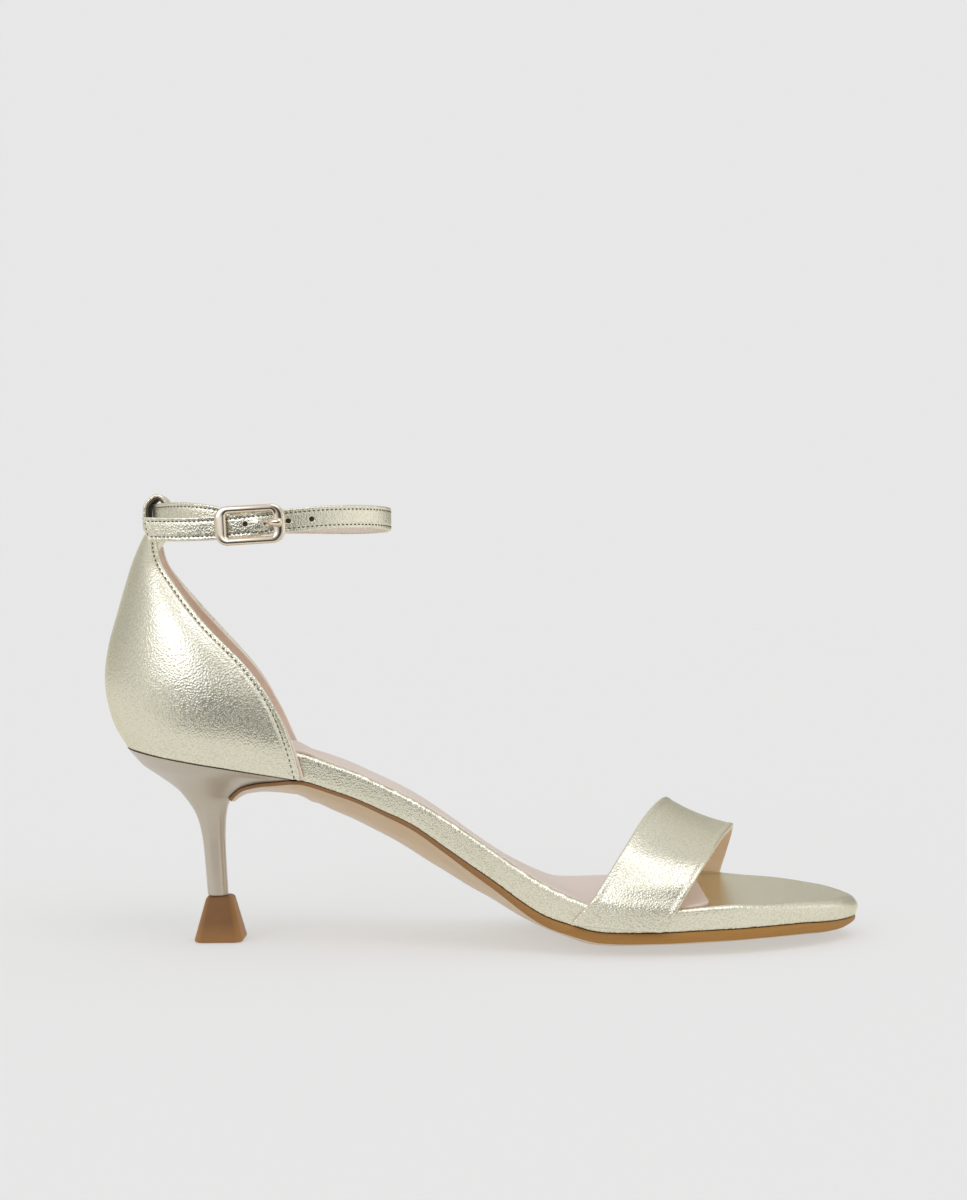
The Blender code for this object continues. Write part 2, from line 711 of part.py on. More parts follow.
def make_ankle_strap(finish):
    """One ribbon from the fold at the buckle's bar to the free end, with punched holes."""
    fold = []
    for degrees in FOLD_ANGLES:
        turn = math.radians(degrees)
        fold.append(bar_centre() + Vector((math.cos(turn), math.sin(turn), 0)) * FOLD_RADIUS)
    route = fold[-2:] + [Vector(point) for point in STRAP_ROUTE]
    middle = fold[:-1] + smooth_route(route, STRAP_STEP)[1:]
    sheets = ribbon_sheets(middle, Vector((0, 0, 1)), STRAP_WIDE, STRAP_THICK)
    along = (middle[-1] - middle[-2]).normalized()
    for sheet in sheets:
        sheet[-1][0] -= along * STRAP_TIP_CUT
    strap = solid("ankle_strap", *sheets, finish)
    for n, hole in enumerate(HOLE_PLACES):
        punch = [Vector((hole.x, hole.y + y, hole.z)) for y in (-PUNCH_REACH, PUNCH_REACH)]
        combine(strap, tube(f"hole_punch_{n}", punch, (hole.radius,) * 2, finish), "DIFFERENCE")

    def slot_face(z):
        return [[bar_centre() + Vector((x, y, z)) for y in FOLD_SLOT_Y] for x in FOLD_SLOT_X]

    slot = solid("fold_slot", slot_face(-FOLD_SLOT / 2), slot_face(FOLD_SLOT / 2), finish)
    combine(strap, slot, "DIFFERENCE")
    return strap


def make_heel_loop(finish):
    """Strip looped over the ankle strap at the top of the counter."""
    middle = smooth_route([Vector(point) for point in LOOP_ROUTE], LOOP_STEP)
    sheets = ribbon_sheets(middle, Vector((0, 1, 0)), LOOP_WIDE, LOOP_THICK)
    return solid("heel_loop", *sheets, finish)


def make_buckle_frame(finish):
    """Rounded frame with a dropped bar across its middle."""
    points, faces = [], []

    def outline(share):
        radius = lerp(BUCKLE_ROUND, BUCKLE_INNER_ROUND, share)
        half_long = BUCKLE_LONG / 2 - BUCKLE_END * share - radius
        half_high = BUCKLE_HIGH / 2 - BUCKLE_RAIL * share - radius
        loop = []
        for corner, (sx, sz) in enumerate(((1, 1), (-1, 1), (-1, -1), (1, -1))):
            for k in range(BUCKLE_CORNER_STEPS):
                turn = math.pi / 2 * (corner + k / (BUCKLE_CORNER_STEPS - 1))
                x = sx * half_long + radius * math.cos(turn)
                loop.append((x, sz * half_high + radius * math.sin(turn)))
        return loop

    loops = []
    for rail in BUCKLE_PROFILE:
        loop = outline(rail.share)
        loops.append([len(points) + k for k in range(len(loop))])
        for x, z in loop:
            bend = x * x / (2 * BUCKLE_CURVE)
            points.append(Vector((x, rail.out * BUCKLE_THICK + bend, z)))
    for a, b in zip(loops, loops[1:] + loops[:1]):
        for k in range(len(a)):
            n = (k + 1) % len(a)
            faces.append((a[k], a[n], b[n], b[k]))
    tilt = Matrix.Rotation(-BUCKLE_TILT, 3, "Y") @ Matrix.Rotation(-BUCKLE_LEAN, 3, "X")
    centre = Vector((BUCKLE_X, BUCKLE_Y, BUCKLE_Z))
    middle = centre + Vector(BUCKLE_SHIFT)
    frame = mesh_object("buckle_frame", [middle + tilt @ p for p in points], faces, finish)
    end = BUCKLE_HIGH / 2 - BUCKLE_RAIL / 2
    path = [(0, 0, end), (0, BAR_DROP - BAR_BEND, end), (0, BAR_DROP, end - BAR_BEND)]
    path += [(0, BAR_DROP, BAR_BEND - end), (0, BAR_DROP - BAR_BEND, -end), (0, 0, -end)]
    bar = [centre + Vector(p) for p in path]
    combine(frame, tube("buckle_bar", bar, [BAR_RADIUS] * len(bar), finish), "UNION")
    return frame


def make_buckle_prong(finish):
    """Pin curled round the buckle's bar, out through the strap onto the frame."""
    curl = BAR_RADIUS + GAP + PRONG_RADIUS
    middle = []
    for degrees in PRONG_CURL:
        turn = math.radians(degrees)
        middle.append(bar_centre() + Vector((math.cos(turn), math.sin(turn), 0)) * curl)
    middle += [bar_centre() + Vector(row[:3]) for row in PRONG_ROUTE]
    radii = [PRONG_RADIUS] * len(PRONG_CURL) + [row.radius for row in PRONG_ROUTE]
    return tube("buckle_prong", middle, radii, finish)


for leftover in list(bpy.data.objects):
    bpy.data.objects.remove(leftover, do_unlink=True)

foil_leather = material("foil_leather", (0.72, 0.68, 0.54), 0.34, 0.85)
sock_leather = material("sock_leather", (0.78, 0.66, 0.57), 0.6, 0.0)
sole_leather = material("sole_leather", (0.42, 0.27, 0.16), 0.45, 0.0)
heel_paint = material("heel_paint", (0.50, 0.45, 0.38), 0.35, 0.3)
heel_rubber = material("heel_rubber", (0.36, 0.20, 0.08), 0.4, 0.0)
gilt_metal = material("gilt_metal", (0.80, 0.70, 0.60), 0.15, 1.0)

shoe = bpy.data.objects.new("shoe", None)
bpy.context.collection.objects.link(shoe)
pieces = [
    make_outsole(sole_leather),
    make_platform(foil_leather),
    make_insole(sock_leather),
    make_heel(heel_paint),
    make_toplift(heel_rubber),
    make_counter(foil_leather),
    make_vamp_strap(foil_leather),
    make_ankle_strap(foil_leather),
    make_heel_loop(foil_leather),
    make_buckle_frame(gilt_metal),
    make_buckle_prong(gilt_metal),
]
for piece in pieces:
    piece.parent = shoe
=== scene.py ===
import math
from bisect import bisect_right
from collections import namedtuple

import bmesh
import bpy
import numpy as np
from mathutils import Matrix, Vector, noise


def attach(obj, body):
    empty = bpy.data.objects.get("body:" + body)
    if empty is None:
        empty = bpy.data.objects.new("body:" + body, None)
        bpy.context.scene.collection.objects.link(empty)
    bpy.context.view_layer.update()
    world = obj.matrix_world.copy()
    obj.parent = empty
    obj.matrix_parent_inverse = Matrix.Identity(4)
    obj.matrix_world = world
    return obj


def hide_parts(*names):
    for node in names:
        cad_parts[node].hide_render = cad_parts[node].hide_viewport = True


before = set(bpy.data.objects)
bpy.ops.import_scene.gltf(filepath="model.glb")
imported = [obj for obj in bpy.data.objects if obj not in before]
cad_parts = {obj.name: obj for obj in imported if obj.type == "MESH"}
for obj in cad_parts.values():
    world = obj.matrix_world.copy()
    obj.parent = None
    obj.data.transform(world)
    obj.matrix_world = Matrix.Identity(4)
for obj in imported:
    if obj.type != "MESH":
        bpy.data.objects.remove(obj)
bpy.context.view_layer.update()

# Platform: the insole board and its filler, wrapped in the upper's foiled leather. The leather
# is pulled round the top edge, which leaves a soft shoulder beside the bed of the sock.
# Sizes are in millimetres, +X to the toe, +Y to the inner side of the foot, +Z up.
MM = 0.001
TOE_X = 118.8
BOARD_HEEL_X = -109.6
ACROSS = np.sin(np.linspace(-math.pi / 2, math.pi / 2, 25))
SKEW_START_X = -57.0
SKEW_RUN = 12.0
OUTSOLE_INSET = 0.8
LOW_EDGE = 0.6
SIDE_LEAN = 0.6
PLATFORM_STATIONS = 760
CRINKLE_DEEP = 0.4
CRINKLE_LONG = 0.9
CRINKLE_ACROSS = 30.0
CRINKLE_TURN = 1.2
CRINKLE_END = 45.0
CRINKLE_FADE = 20.0
SIDE_SHARES = (0.0, 0.35, 0.7)
SHOULDER_TURNS = range(0, 91, 10)
NUDGE = 0.002

OutlineRow = namedtuple("OutlineRow", "x lateral medial")
OUTLINE = [OutlineRow(*row) for row in (
    (-105, -13.5, 13.5),
    (-95, -20.6, 20.6),
    (-84, -22.9, 22.9),
    (-70, -23.1, 22.8),
    (-56, -22.8, 21.6),
    (-40, -23.5, 20.2),
    (-25, -24.2, 19.0),
    (-10, -26.0, 20.0),
    (5, -29.0, 24.0),
    (20, -33.0, 30.0),
    (35, -36.5, 35.0),
    (50, -38.0, 38.5),
    (65, -37.5, 39.5),
    (80, -34.0, 37.5),
    (95, -27.0, 32.0),
    (105, -20.0, 25.5),
    (112, -13.0, 18.0),
    (117, -5.0, 9.5),
)]
SoleRow = namedtuple("SoleRow", "x underside platform outsole crown margin bed skew")
SOLE = [SoleRow(*row) for row in (
    (-112, 60.9, 6.6, 1.1, 0.0, -2.8, 0.0, 0.0),
    (-85, 56.75, 6.8, 1.1, 0.0, -1.8, 0.0, 0.0),
    (-60, 52.9, 7.9, 1.1, 0.0, -0.8, 0.0, 7.0),
    (-55, 52.0, 8.2, 1.1, 6.0, 2.4, 0.0, 8.0),
    (-51, 50.9, 8.1, 1.1, 6.2, 3.0, 0.2, 6.8),
    (-47, 49.5, 8.0, 1.1, 6.5, 3.2, 0.6, 5.6),
    (-39, 46.7, 7.9, 1.1, 7.0, 3.2, 0.6, 5.2),
    (-30, 42.7, 7.7, 1.3, 7.4, 3.2, 0.6, 4.8),
    (-21, 38.4, 7.6, 1.6, 7.8, 3.2, 0.6, 4.9),
    (-12, 32.2, 8.6, 1.8, 6.6, 3.2, 0.6, 5.7),
    (-4, 26.7, 8.9, 2.2, 5.5, 3.2, 0.6, 6.7),
    (4, 21.3, 8.9, 2.5, 4.0, 3.2, 0.6, 7.4),
    (13, 14.9, 9.3, 2.9, 2.8, 3.2, 0.6, 8.2),
    (19, 11.6, 9.2, 3.1, 2.5, 3.2, 0.6, 9.5),
    (26, 9.4, 8.2, 3.2, 3.2, 3.2, 0.6, 11.0),
    (35, 7.4, 7.4, 3.2, 4.4, 3.2, 0.6, 9.0),
    (54, 7.4, 6.8, 3.2, 4.5, 3.2, 0.6, 2.0),
    (65, 7.8, 7.0, 3.2, 4.7, 3.2, 0.6, 0.0),
    (75, 7.9, 7.2, 3.2, 4.4, 3.2, 0.6, 0.0),
    (86, 8.0, 6.4, 3.2, 3.8, 3.2, 0.0, 0.0),
    (97, 7.9, 6.2, 3.2, 3.4, 3.2, 0.0, 0.0),
    (105, 7.3, 6.3, 3.2, 2.6, 3.2, 0.0, 0.0),
    (112, 6.9, 6.3, 2.9, 1.6, 3.2, 0.0, 0.0),
    (118, 6.6, 5.6, 1.7, 0.2, 3.2, 0.0, 0.0),
)]


def read(rows, field, at):
    """Smooth value of one column of a table, at a place along the table's first column."""
    keys = [row[0] for row in rows]
    values = [getattr(row, field) for row in rows]
    at = min(max(at, keys[0]), keys[-1])
    i = min(max(bisect_right(keys, at) - 1, 0), len(keys) - 2)

    def slope(k):
        low, high = max(k - 1, 0), min(k + 1, len(keys) - 1)
        return (values[high] - values[low]) / (keys[high] - keys[low])

    span = keys[i + 1] - keys[i]
    t = (at - keys[i]) / span
    ease = t * t * (3 - 2 * t)
    bend = t * (1 - t) ** 2 * slope(i) - t * t * (1 - t) * slope(i + 1)
    return values[i] * (1 - ease) + values[i + 1] * ease + bend * span


def lerp(a, b, t):
    return a + (b - a) * t


def rounding(x):
    """Share of its full width that the plan has at x, which closes both ends in an arc."""
    place = (2 * x - TOE_X - BOARD_HEEL_X) / (TOE_X - BOARD_HEEL_X)
    return math.sqrt(max(1 - place * place, 0.0))


PlanRow = namedtuple("PlanRow", "x centre fullness")
PLAN = [
    PlanRow(r.x, (r.medial + r.lateral) / 2, (r.medial - r.lateral) / 2 / rounding(r.x))
    for r in OUTLINE
]


def plan_half(x):
    return read(PLAN, "fullness", x) * rounding(x)


def plan_point(s, side, inset=0.0):
    """Point of the platform's outline, s from heel to toe, moved in from the edge."""

    def edge(at):
        x = lerp(BOARD_HEEL_X, TOE_X, (1 - math.cos(math.pi * at)) / 2)
        return np.array((x, read(PLAN, "centre", x) + side * plan_half(x), 0.0))

    along = edge(s + NUDGE) - edge(s - NUDGE)
    along /= np.linalg.norm(along)
    return edge(s) + np.array((along[1], -along[0], 0.0)) * (inset * side)


def plan_grid(stations, inset, height, across=ACROSS):
    """Grid over the plan; inset(x) and height(x, v) shape it, v from outer to inner edge."""
    grid = []
    for s in stations:
        margin = inset(plan_point(s, -1)[0])
        outer, inner = plan_point(s, -1, margin), plan_point(s, 1, margin)
        row = [lerp(outer, inner, (v + 1) / 2) for v in across]
        for point, v in zip(row, across):
            point[2] = height(point[0], v)
        grid.append(row)
    return np.array(grid)


def plan_ring(stations, inset, height):
    """The edge of such a grid alone, its points in order."""
    edges = plan_grid(stations, inset, height, (-1.0, 1.0))
    ends = plan_grid((stations[0], stations[-1]), inset, height)
    return np.array([*edges[:, 0], *ends[1, 1:], *edges[-2::-1, 1], *ends[0, -2:0:-1]])


def ahead(x, v):
    """Place to read the side profile at, further on towards the inner edge."""
    return x + read(SOLE, "skew", x) * (v + 1) / 2


def sole_line(x, v):
    """Height of the board's lower edge, level across the foot where it meets the heel."""
    past_heel = min(max((x - SKEW_START_X) / SKEW_RUN, 0), 1)
    return read(SOLE, "underside", lerp(x, ahead(x, v), past_heel))


def underside(x, v):
    return sole_line(x, v) - read(SOLE, "crown", x) * (1 - v * v)


def topside(x, v):
    return read(SOLE, "underside", ahead(x, v)) + read(SOLE, "platform", ahead(x, v))


def sock_bed(x, v):
    return topside(x, v) - read(SOLE, "bed", x)


def rim(grid):
    """The points round the edge of a grid, in order."""
    loop = [*grid[:, 0], *grid[-1, 1:], *grid[-2::-1, -1], *grid[0, -2:0:-1]]
    return np.array(loop)


def mesh_piece(name, points, faces, finishes, groups=None):
    """A smooth mesh piece from points in millimetres, its faces turned outwards."""
    mesh = bpy.data.meshes.new(name)
    mesh.from_pydata((np.asarray(points, float) * MM).tolist(), [], faces)
    for finish in finishes:
        mesh.materials.append(finish)
    if groups is not None:
        mesh.polygons.foreach_set("material_index", groups)
    shape = bmesh.new()
    shape.from_mesh(mesh)
    bmesh.ops.recalc_face_normals(shape, faces=shape.faces)
    shape.to_mesh(mesh)
    shape.free()
    mesh.shade_smooth()
    made = bpy.data.objects.new(name, mesh)
    bpy.context.scene.collection.objects.link(made)
    return made


def closed_form(name, lower, loops, upper, finishes, edge_finish=0):
    """A closed body between two grids of points, through the loops between their edges."""
    points, faces, groups = [], [], []
    rows, columns = lower.shape[:2]

    def add_sheet(grid, finish):
        index = np.arange(rows * columns).reshape(rows, columns) + len(points)
        points.extend(grid.reshape(-1, 3))
        for i in range(rows - 1):
            for j in range(columns - 1):
                faces.append((index[i, j], index[i + 1, j], index[i + 1, j + 1], index[i, j + 1]))
                groups.append(finish)
        return [int(k) for k in rim(index[:, :, None])[:, 0]]

    edges = [add_sheet(lower, 0)]
    for loop in loops:
        edges.append(list(range(len(points), len(points) + len(loop))))
        points.extend(loop)
    edges.append(add_sheet(upper, 0))
    for below, above in zip(edges, edges[1:]):
        for k in range(len(below)):
            n = (k + 1) % len(below)
            faces.append((below[k], below[n], above[n], above[k]))
            groups.append(edge_finish)
    faces = [tuple(int(k) for k in face) for face in faces]
    return mesh_piece(name, points, faces, finishes, groups)


def feed(tree, socket, value):
    """Set a node's input to a value, or link it to another node's output."""
    if isinstance(value, bpy.types.NodeSocket):
        tree.links.new(value, socket)
    else:
        socket.default_value = value


def add_node(tree, kind, settings=None, **inputs):
    """A node with its settings and its inputs, where an input is a value or another node's output."""
    made = tree.nodes.new(kind)
    for key, value in (settings or {}).items():
        setattr(made, key, value)
    for key, value in inputs.items():
        feed(tree, made.inputs[key.replace("_", " ")], value)
    return made


def mix_colours(tree, share, first, second):
    """Output of a node that mixes two colours by a share."""
    made = add_node(tree, "ShaderNodeMix", {"data_type": "RGBA"})
    for socket, value in zip((0, 6, 7), (share, first, second)):
        feed(tree, made.inputs[socket], value)
    return made.outputs[2]


def map_value(tree, value, low, high, to_low, to_high):
    """Output of a value moved from one range to another."""
    return add_node(
        tree, "ShaderNodeMapRange", Value=value, From_Min=low, From_Max=high, To_Min=to_low, To_Max=to_high
    ).outputs["Result"]


def sum_of(tree, first, share, second):
    """Output of first plus share times second."""
    made = add_node(tree, "ShaderNodeMath", {"operation": "MULTIPLY_ADD"})
    for socket, value in zip(made.inputs, (second, share, first)):
        feed(tree, socket, value)
    return made.outputs["Value"]


def speckle(tree, place, scale, detail):
    """Output of a fine cloudy pattern, between 0 and 1."""
    return add_node(tree, "ShaderNodeTexNoise", Vector=place, Scale=scale, Detail=detail).outputs["Fac"]


def colour(tree, shader, share, light, deep):
    """Give a finish its colour, between two tones."""
    tree.links.new(mix_colours(tree, share, light, deep), shader.inputs["Base Color"])


def roughen(tree, shader, pattern, smooth, rough):
    """Give a finish its roughness, uneven as a pattern is."""
    tree.links.new(map_value(tree, pattern, 0.3, 0.7, smooth, rough), shader.inputs["Roughness"])


def emboss(tree, shader, height, strength, depth):
    """Give a finish its relief, from a height pattern and a depth in metres."""
    bump = add_node(tree, "ShaderNodeBump", Strength=strength, Distance=depth, Height=height)
    tree.links.new(bump.outputs["Normal"], shader.inputs["Normal"])


def new_finish(name, **values):
    """A material with its shader's constant values set, and the coordinates its patterns use."""
    made = bpy.data.materials.new(name)
    made.use_nodes = True
    tree = made.node_tree
    shader = tree.nodes["Principled BSDF"]
    for key, value in values.items():
        shader.inputs[key.replace("_", " ")].default_value = value
    place = add_node(tree, "ShaderNodeTexCoord").outputs["Object"]
    return made, tree, shader, place


def leather_grain(tree, place, cell, warp):
    """Height of a pebbled grain with cells of one size in metres, and the share of its creases."""
    wander = add_node(tree, "ShaderNodeTexNoise", Vector=place, Scale=0.5 / cell, Detail=2.0)
    shift = add_node(tree, "ShaderNodeVectorMath", {"operation": "MULTIPLY_ADD"})
    for socket, value in zip(shift.inputs, (wander.outputs["Color"], (warp,) * 3, place)):
        feed(tree, socket, value)
    cells = add_node(
        tree,
        "ShaderNodeTexVoronoi",
        {"feature": "SMOOTH_F1"},
        Vector=shift.outputs["Vector"],
        Scale=1 / cell,
        Smoothness=0.4,
    ).outputs["Distance"]
    return sum_of(tree, cells, 0.55, speckle(tree, place, 2.4 / cell, 3.0)), cells


FOIL_LIGHT = (0.90, 0.87, 0.725, 1.0)
FOIL_DEEP_AND_CREASE_SHADE = (0.69, 0.65, 0.45, 1.0)
FOIL_GLANCE = (0.90, 0.86, 0.68, 1.0)
foil_leather, tree, shader, place = new_finish(
    "foil_leather", Metallic=0.9, Specular_Tint=FOIL_GLANCE, Coat_Weight=0.4, Coat_Roughness=0.25
)
grain, creases = leather_grain(tree, place, 0.00060, 0.00022)
cloud = speckle(tree, place, 55.0, 3.0)
# The deep tone darkens the grain's creases, painted shade in the creases, and with the cloudy pattern
# varies the tone at random.
crease_shade_share = map_value(tree, creases, 0.3, 0.75, 0.0, 0.5)
colour(tree, shader, sum_of(tree, crease_shade_share, 0.3, cloud), FOIL_LIGHT, FOIL_DEEP_AND_CREASE_SHADE)
roughen(tree, shader, cloud, 0.20, 0.28)
emboss(tree, shader, grain, 1.0, 0.00009)


def sole_stations(count):
    return [(i + 0.5) / count for i in range(count)]


ShoulderRow = namedtuple("ShoulderRow", "x radius")
SHOULDER = [ShoulderRow(*row) for row in (
    (40, 1.3),
    (80, 1.5),
    (96, 1.7),
    (108, 2.3),
    (116, 3.3),
)]


def shoulder(x):
    """Radius of the platform's top edge, tight at the waist and full at the toe."""
    return read(SHOULDER, "radius", x)


def crinkled(ring, turn):
    """A ring of the shoulder with the small creases that the gathered leather has at the waist."""
    for point in ring:
        fade = min(max((CRINKLE_END - point[0]) / CRINKLE_FADE, 0), 1)
        crease = noise.noise(
            Vector((point[0] / CRINKLE_LONG, turn * CRINKLE_TURN, point[1] / CRINKLE_ACROSS))
        )
        push = CRINKLE_DEEP * math.sin(turn) * fade * crease
        point[1] += math.copysign(push * math.cos(turn), point[1])
        point[2] += push * math.sin(turn)
    return ring


platform_stations = sole_stations(PLATFORM_STATIONS)
sides = []
for share in SIDE_SHARES:
    sides.append(plan_ring(
        platform_stations,
        lambda x: SIDE_LEAN * (1 - share),
        lambda x, v: lerp(underside(x, v) + LOW_EDGE, topside(x, v) - shoulder(x), share),
    ))
for degrees in SHOULDER_TURNS:
    turn = math.radians(degrees)
    ring = plan_ring(
        platform_stations,
        lambda x: shoulder(x) * (1 - math.cos(turn)),
        lambda x, v: topside(x, v) - shoulder(x) * (1 - math.sin(turn)),
    )
    sides.append(crinkled(ring, turn))
platform = closed_form(
    "platform_cover",
    plan_grid(platform_stations, lambda x: OUTSOLE_INSET, underside),
    sides,
    plan_grid(platform_stations, lambda x: shoulder(x) + LOW_EDGE, sock_bed),
    [foil_leather],
)
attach(platform, "root")
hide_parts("platform")

# Sock: the thin beige leather pad glued in the bed, from the heel cup to behind the toes. Its
# edge is cut square and lightly pressed, and its front corners are round.
SOLE_STATIONS = 150
SOCK_FRONT_X = 70.7
SOCK_CORNER = 11.0
SOCK_THICK = 1.0
SOCK_GLUE = 0.05
SOCK_EDGE = 0.35
SOCK_BEVEL = 0.3 * SOCK_EDGE
SOCK_LEDGE = 0.7
SOCK_TURNS = (0, 12, 24, 36, 48, 58, 67, 75, 82, 87, 90)
SOCK_LIGHT = (0.81, 0.70, 0.60, 1.0)
SOCK_DEEP = (0.75, 0.63, 0.53, 1.0)
sock_leather, tree, shader, place = new_finish("sock_leather", Roughness=0.62, Sheen_Weight=0.08)
colour(tree, shader, speckle(tree, place, 38.0, 4.0), SOCK_LIGHT, SOCK_DEEP)
emboss(tree, shader, leather_grain(tree, place, 0.0007, 0.0005)[0], 0.25, 0.00008)


def station_at(x):
    """Share of the way from heel to toe, closer spaced at both ends."""
    return math.acos(1 - 2 * (x - BOARD_HEEL_X) / (TOE_X - BOARD_HEEL_X)) / math.pi


sock_stations = []
for s in sole_stations(SOLE_STATIONS):
    if plan_point(s, -1)[0] < SOCK_FRONT_X - SOCK_CORNER:
        sock_stations.append(s)
for degrees in SOCK_TURNS:
    reach = SOCK_CORNER * (1 - math.sin(math.radians(degrees)))
    sock_stations.append(station_at(SOCK_FRONT_X - reach))


def sock_margin(x):
    into_corner = min(max(x - (SOCK_FRONT_X - SOCK_CORNER), 0) / SOCK_CORNER, 1)
    margin = min(read(SOLE, "margin", x), shoulder(x) + SOCK_LEDGE)
    return margin + SOCK_CORNER * (1 - math.sqrt(1 - into_corner * into_corner))


def sock_level(rise, inset):
    return plan_grid(
        sock_stations,
        lambda x: sock_margin(x) + inset,
        lambda x, v: sock_bed(x, v) + SOCK_GLUE + rise,
    )


sock_sides = [
    rim(sock_level(SOCK_THICK - SOCK_EDGE, 0.0)),
    rim(sock_level(SOCK_THICK - SOCK_BEVEL, SOCK_BEVEL)),
]
sock = closed_form(
    "sock", sock_level(0.0, 0.0), sock_sides, sock_level(SOCK_THICK, SOCK_EDGE), [sock_leather]
)
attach(sock, "root")
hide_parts("insole")

# Outsole: a tan leather sole under the whole shoe, thin and shaved at the waist and thicker at
# the forefoot. Its tongue runs on down the front of the heel, and its edge is inked.
HeelRow = namedtuple(
    "HeelRow",
    "level front_x front_z back_x back_z half front_half round_depth bulge",
)
HEEL = [HeelRow(*row) for row in (
    (0, -81.1, 14.3, -87.2, 14.3, 3.3, 2.8, 2.8, 0.3),
    (1, -81.8, 28.4, -88.3, 28.4, 3.3, 2.8, 2.8, 0.3),
    (2, -81.9, 35.3, -89.1, 34.1, 3.6, 3.0, 3.2, 0.4),
    (3, -81.6, 40.2, -90.5, 39.2, 4.3, 3.4, 4.4, 0.5),
    (4, -80.6, 44.2, -93.1, 43.7, 6.0, 4.8, 6.8, 0.7),
    (5, -78.3, 47.0, -96.6, 47.9, 9.0, 7.6, 10.0, 1.2),
    (6, -74.9, 49.4, -102.0, 52.1, 14.0, 12.8, 16.0, 2.0),
    (7, -69.4, 51.1, -107.2, 55.8, 19.5, 18.5, 22.0, 2.9),
    (8, -64.2, 51.9, -110.4, 59.4, 23.3, 22.4, 26.0, 3.9),
    (9, -58.7, 52.5, -112.0, 61.4, 25.4, 24.0, 28.0, 5.2),
)]
GAP = 0.3
TONGUE_LEVEL = 4.25
TONGUE_LAP = 2.5
TONGUE_STEPS = 36
TONGUE_BLEND = 3.7
CROWN_START_X = -55.0
LEVEL_NUDGE = 0.05
SOLE_RINGS = (0.98, 0.93, 0.85, 0.74, 0.6, 0.45, 0.1)
EDGE_ROUND = 0.3
TOE_ROUND = 6.0
TOE_ROUND_X = 95.0
TOE_ROUND_RUN = 20.0


def breast_point(level, v, depth):
    """Point on the front of the heel, or a depth in front of it, v from outer to inner edge."""
    after, before = min(level + LEVEL_NUDGE, HEEL[-1].level), level - LEVEL_NUDGE
    rise_x = read(HEEL, "front_x", after) - read(HEEL, "front_x", before)
    rise_z = read(HEEL, "front_z", after) - read(HEEL, "front_z", before)
    out = np.array((rise_z, 0.0, -rise_x)) / math.hypot(rise_x, rise_z)
    x, z = read(HEEL, "front_x", level), read(HEEL, "front_z", level)
    edge = np.array((x, v * read(HEEL, "front_half", level), z))
    return edge + out * (read(HEEL, "bulge", level) * (1 - v * v) + depth)


def sole_sheet(deep, inset):
    """Sheet of the outsole at a share of its thickness, from the tongue's end to the toe."""
    grid = []
    for level in np.linspace(TONGUE_LEVEL, HEEL[-1].level, TONGUE_STEPS):
        depth = GAP + deep * SOLE[0].outsole
        narrow = 1 - inset / read(HEEL, "front_half", level)
        grid.append([breast_point(level, v * narrow, depth) for v in ACROSS])
    for s in sole_stations(SOLE_STATIONS):
        if plan_point(s, -1)[0] < HEEL[-1].front_x + TONGUE_LAP:
            continue
        toe = min(max((plan_point(s, -1)[0] - TOE_ROUND_X) / TOE_ROUND_RUN, 0), 1)
        drawn = OUTSOLE_INSET + inset * (1 + TOE_ROUND * toe * deep)
        outer, inner = plan_point(s, -1, drawn), plan_point(s, 1, drawn)
        row = [lerp(outer, inner, (v + 1) / 2) for v in ACROSS]
        for point, v in zip(row, ACROSS):
            x = point[0]
            lap = min(max((x - HEEL[-1].front_x) / TONGUE_BLEND, 0), 1)
            crown = lerp(HEEL[-1].bulge, read(SOLE, "crown", max(x, CROWN_START_X)), lap)
            under = sole_line(x, v) - crown * (1 - v * v)
            under -= GAP + deep * read(SOLE, "outsole", x)
            point[2] = max(under, 0.0)
        grid.append(row)
    return np.array(grid)


SOLE_FACE = (0.66, 0.475, 0.27, 1.0)
SOLE_FACE_DEEP = (0.56, 0.385, 0.205, 1.0)
sole_face, tree, shader, place = new_finish("sole_face", Coat_Weight=0.35, Coat_Roughness=0.22)
stretch = add_node(tree, "ShaderNodeMapping", Vector=place, Scale=(40.0, 160.0, 90.0))
fibre = speckle(tree, stretch.outputs["Vector"], 2.0, 5.0)
colour(tree, shader, fibre, SOLE_FACE, SOLE_FACE_DEEP)
roughen(tree, shader, fibre, 0.34, 0.46)
emboss(tree, shader, fibre, 0.15, 0.0001)

SOLE_EDGE = (0.43, 0.22, 0.055, 1.0)
SOLE_EDGE_DEEP = (0.33, 0.155, 0.035, 1.0)
SOLE_EDGE_WAIST = (0.25, 0.13, 0.055, 1.0)
sole_edge, tree, shader, place = new_finish("sole_edge", Roughness=0.5, Specular_IOR_Level=0.3)
stretch = add_node(tree, "ShaderNodeMapping", Vector=place, Scale=(60.0, 60.0, 900.0))
fibre = speckle(tree, stretch.outputs["Vector"], 1.5, 4.0)
along = add_node(tree, "ShaderNodeSeparateXYZ", Vector=place).outputs["X"]
waist_share = map_value(tree, along, 0.03, -0.01, 0.0, 0.8)
colour(tree, shader, waist_share, mix_colours(tree, fibre, SOLE_EDGE, SOLE_EDGE_DEEP), SOLE_EDGE_WAIST)
emboss(tree, shader, fibre, 0.2, 0.0001)

sole_sides = []
for deep in SOLE_RINGS:
    share = 1 - math.sqrt(1 - max(2 * deep - 1, 0) ** 2)
    sole_sides.append(rim(sole_sheet(deep, EDGE_ROUND * share)))
outsole = closed_form(
    "outsole_leather",
    sole_sheet(1, EDGE_ROUND),
    sole_sides,
    sole_sheet(0, EDGE_ROUND),
    [sole_face, sole_edge],
    edge_finish=1,
)
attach(outsole, "root")
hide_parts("outsole")

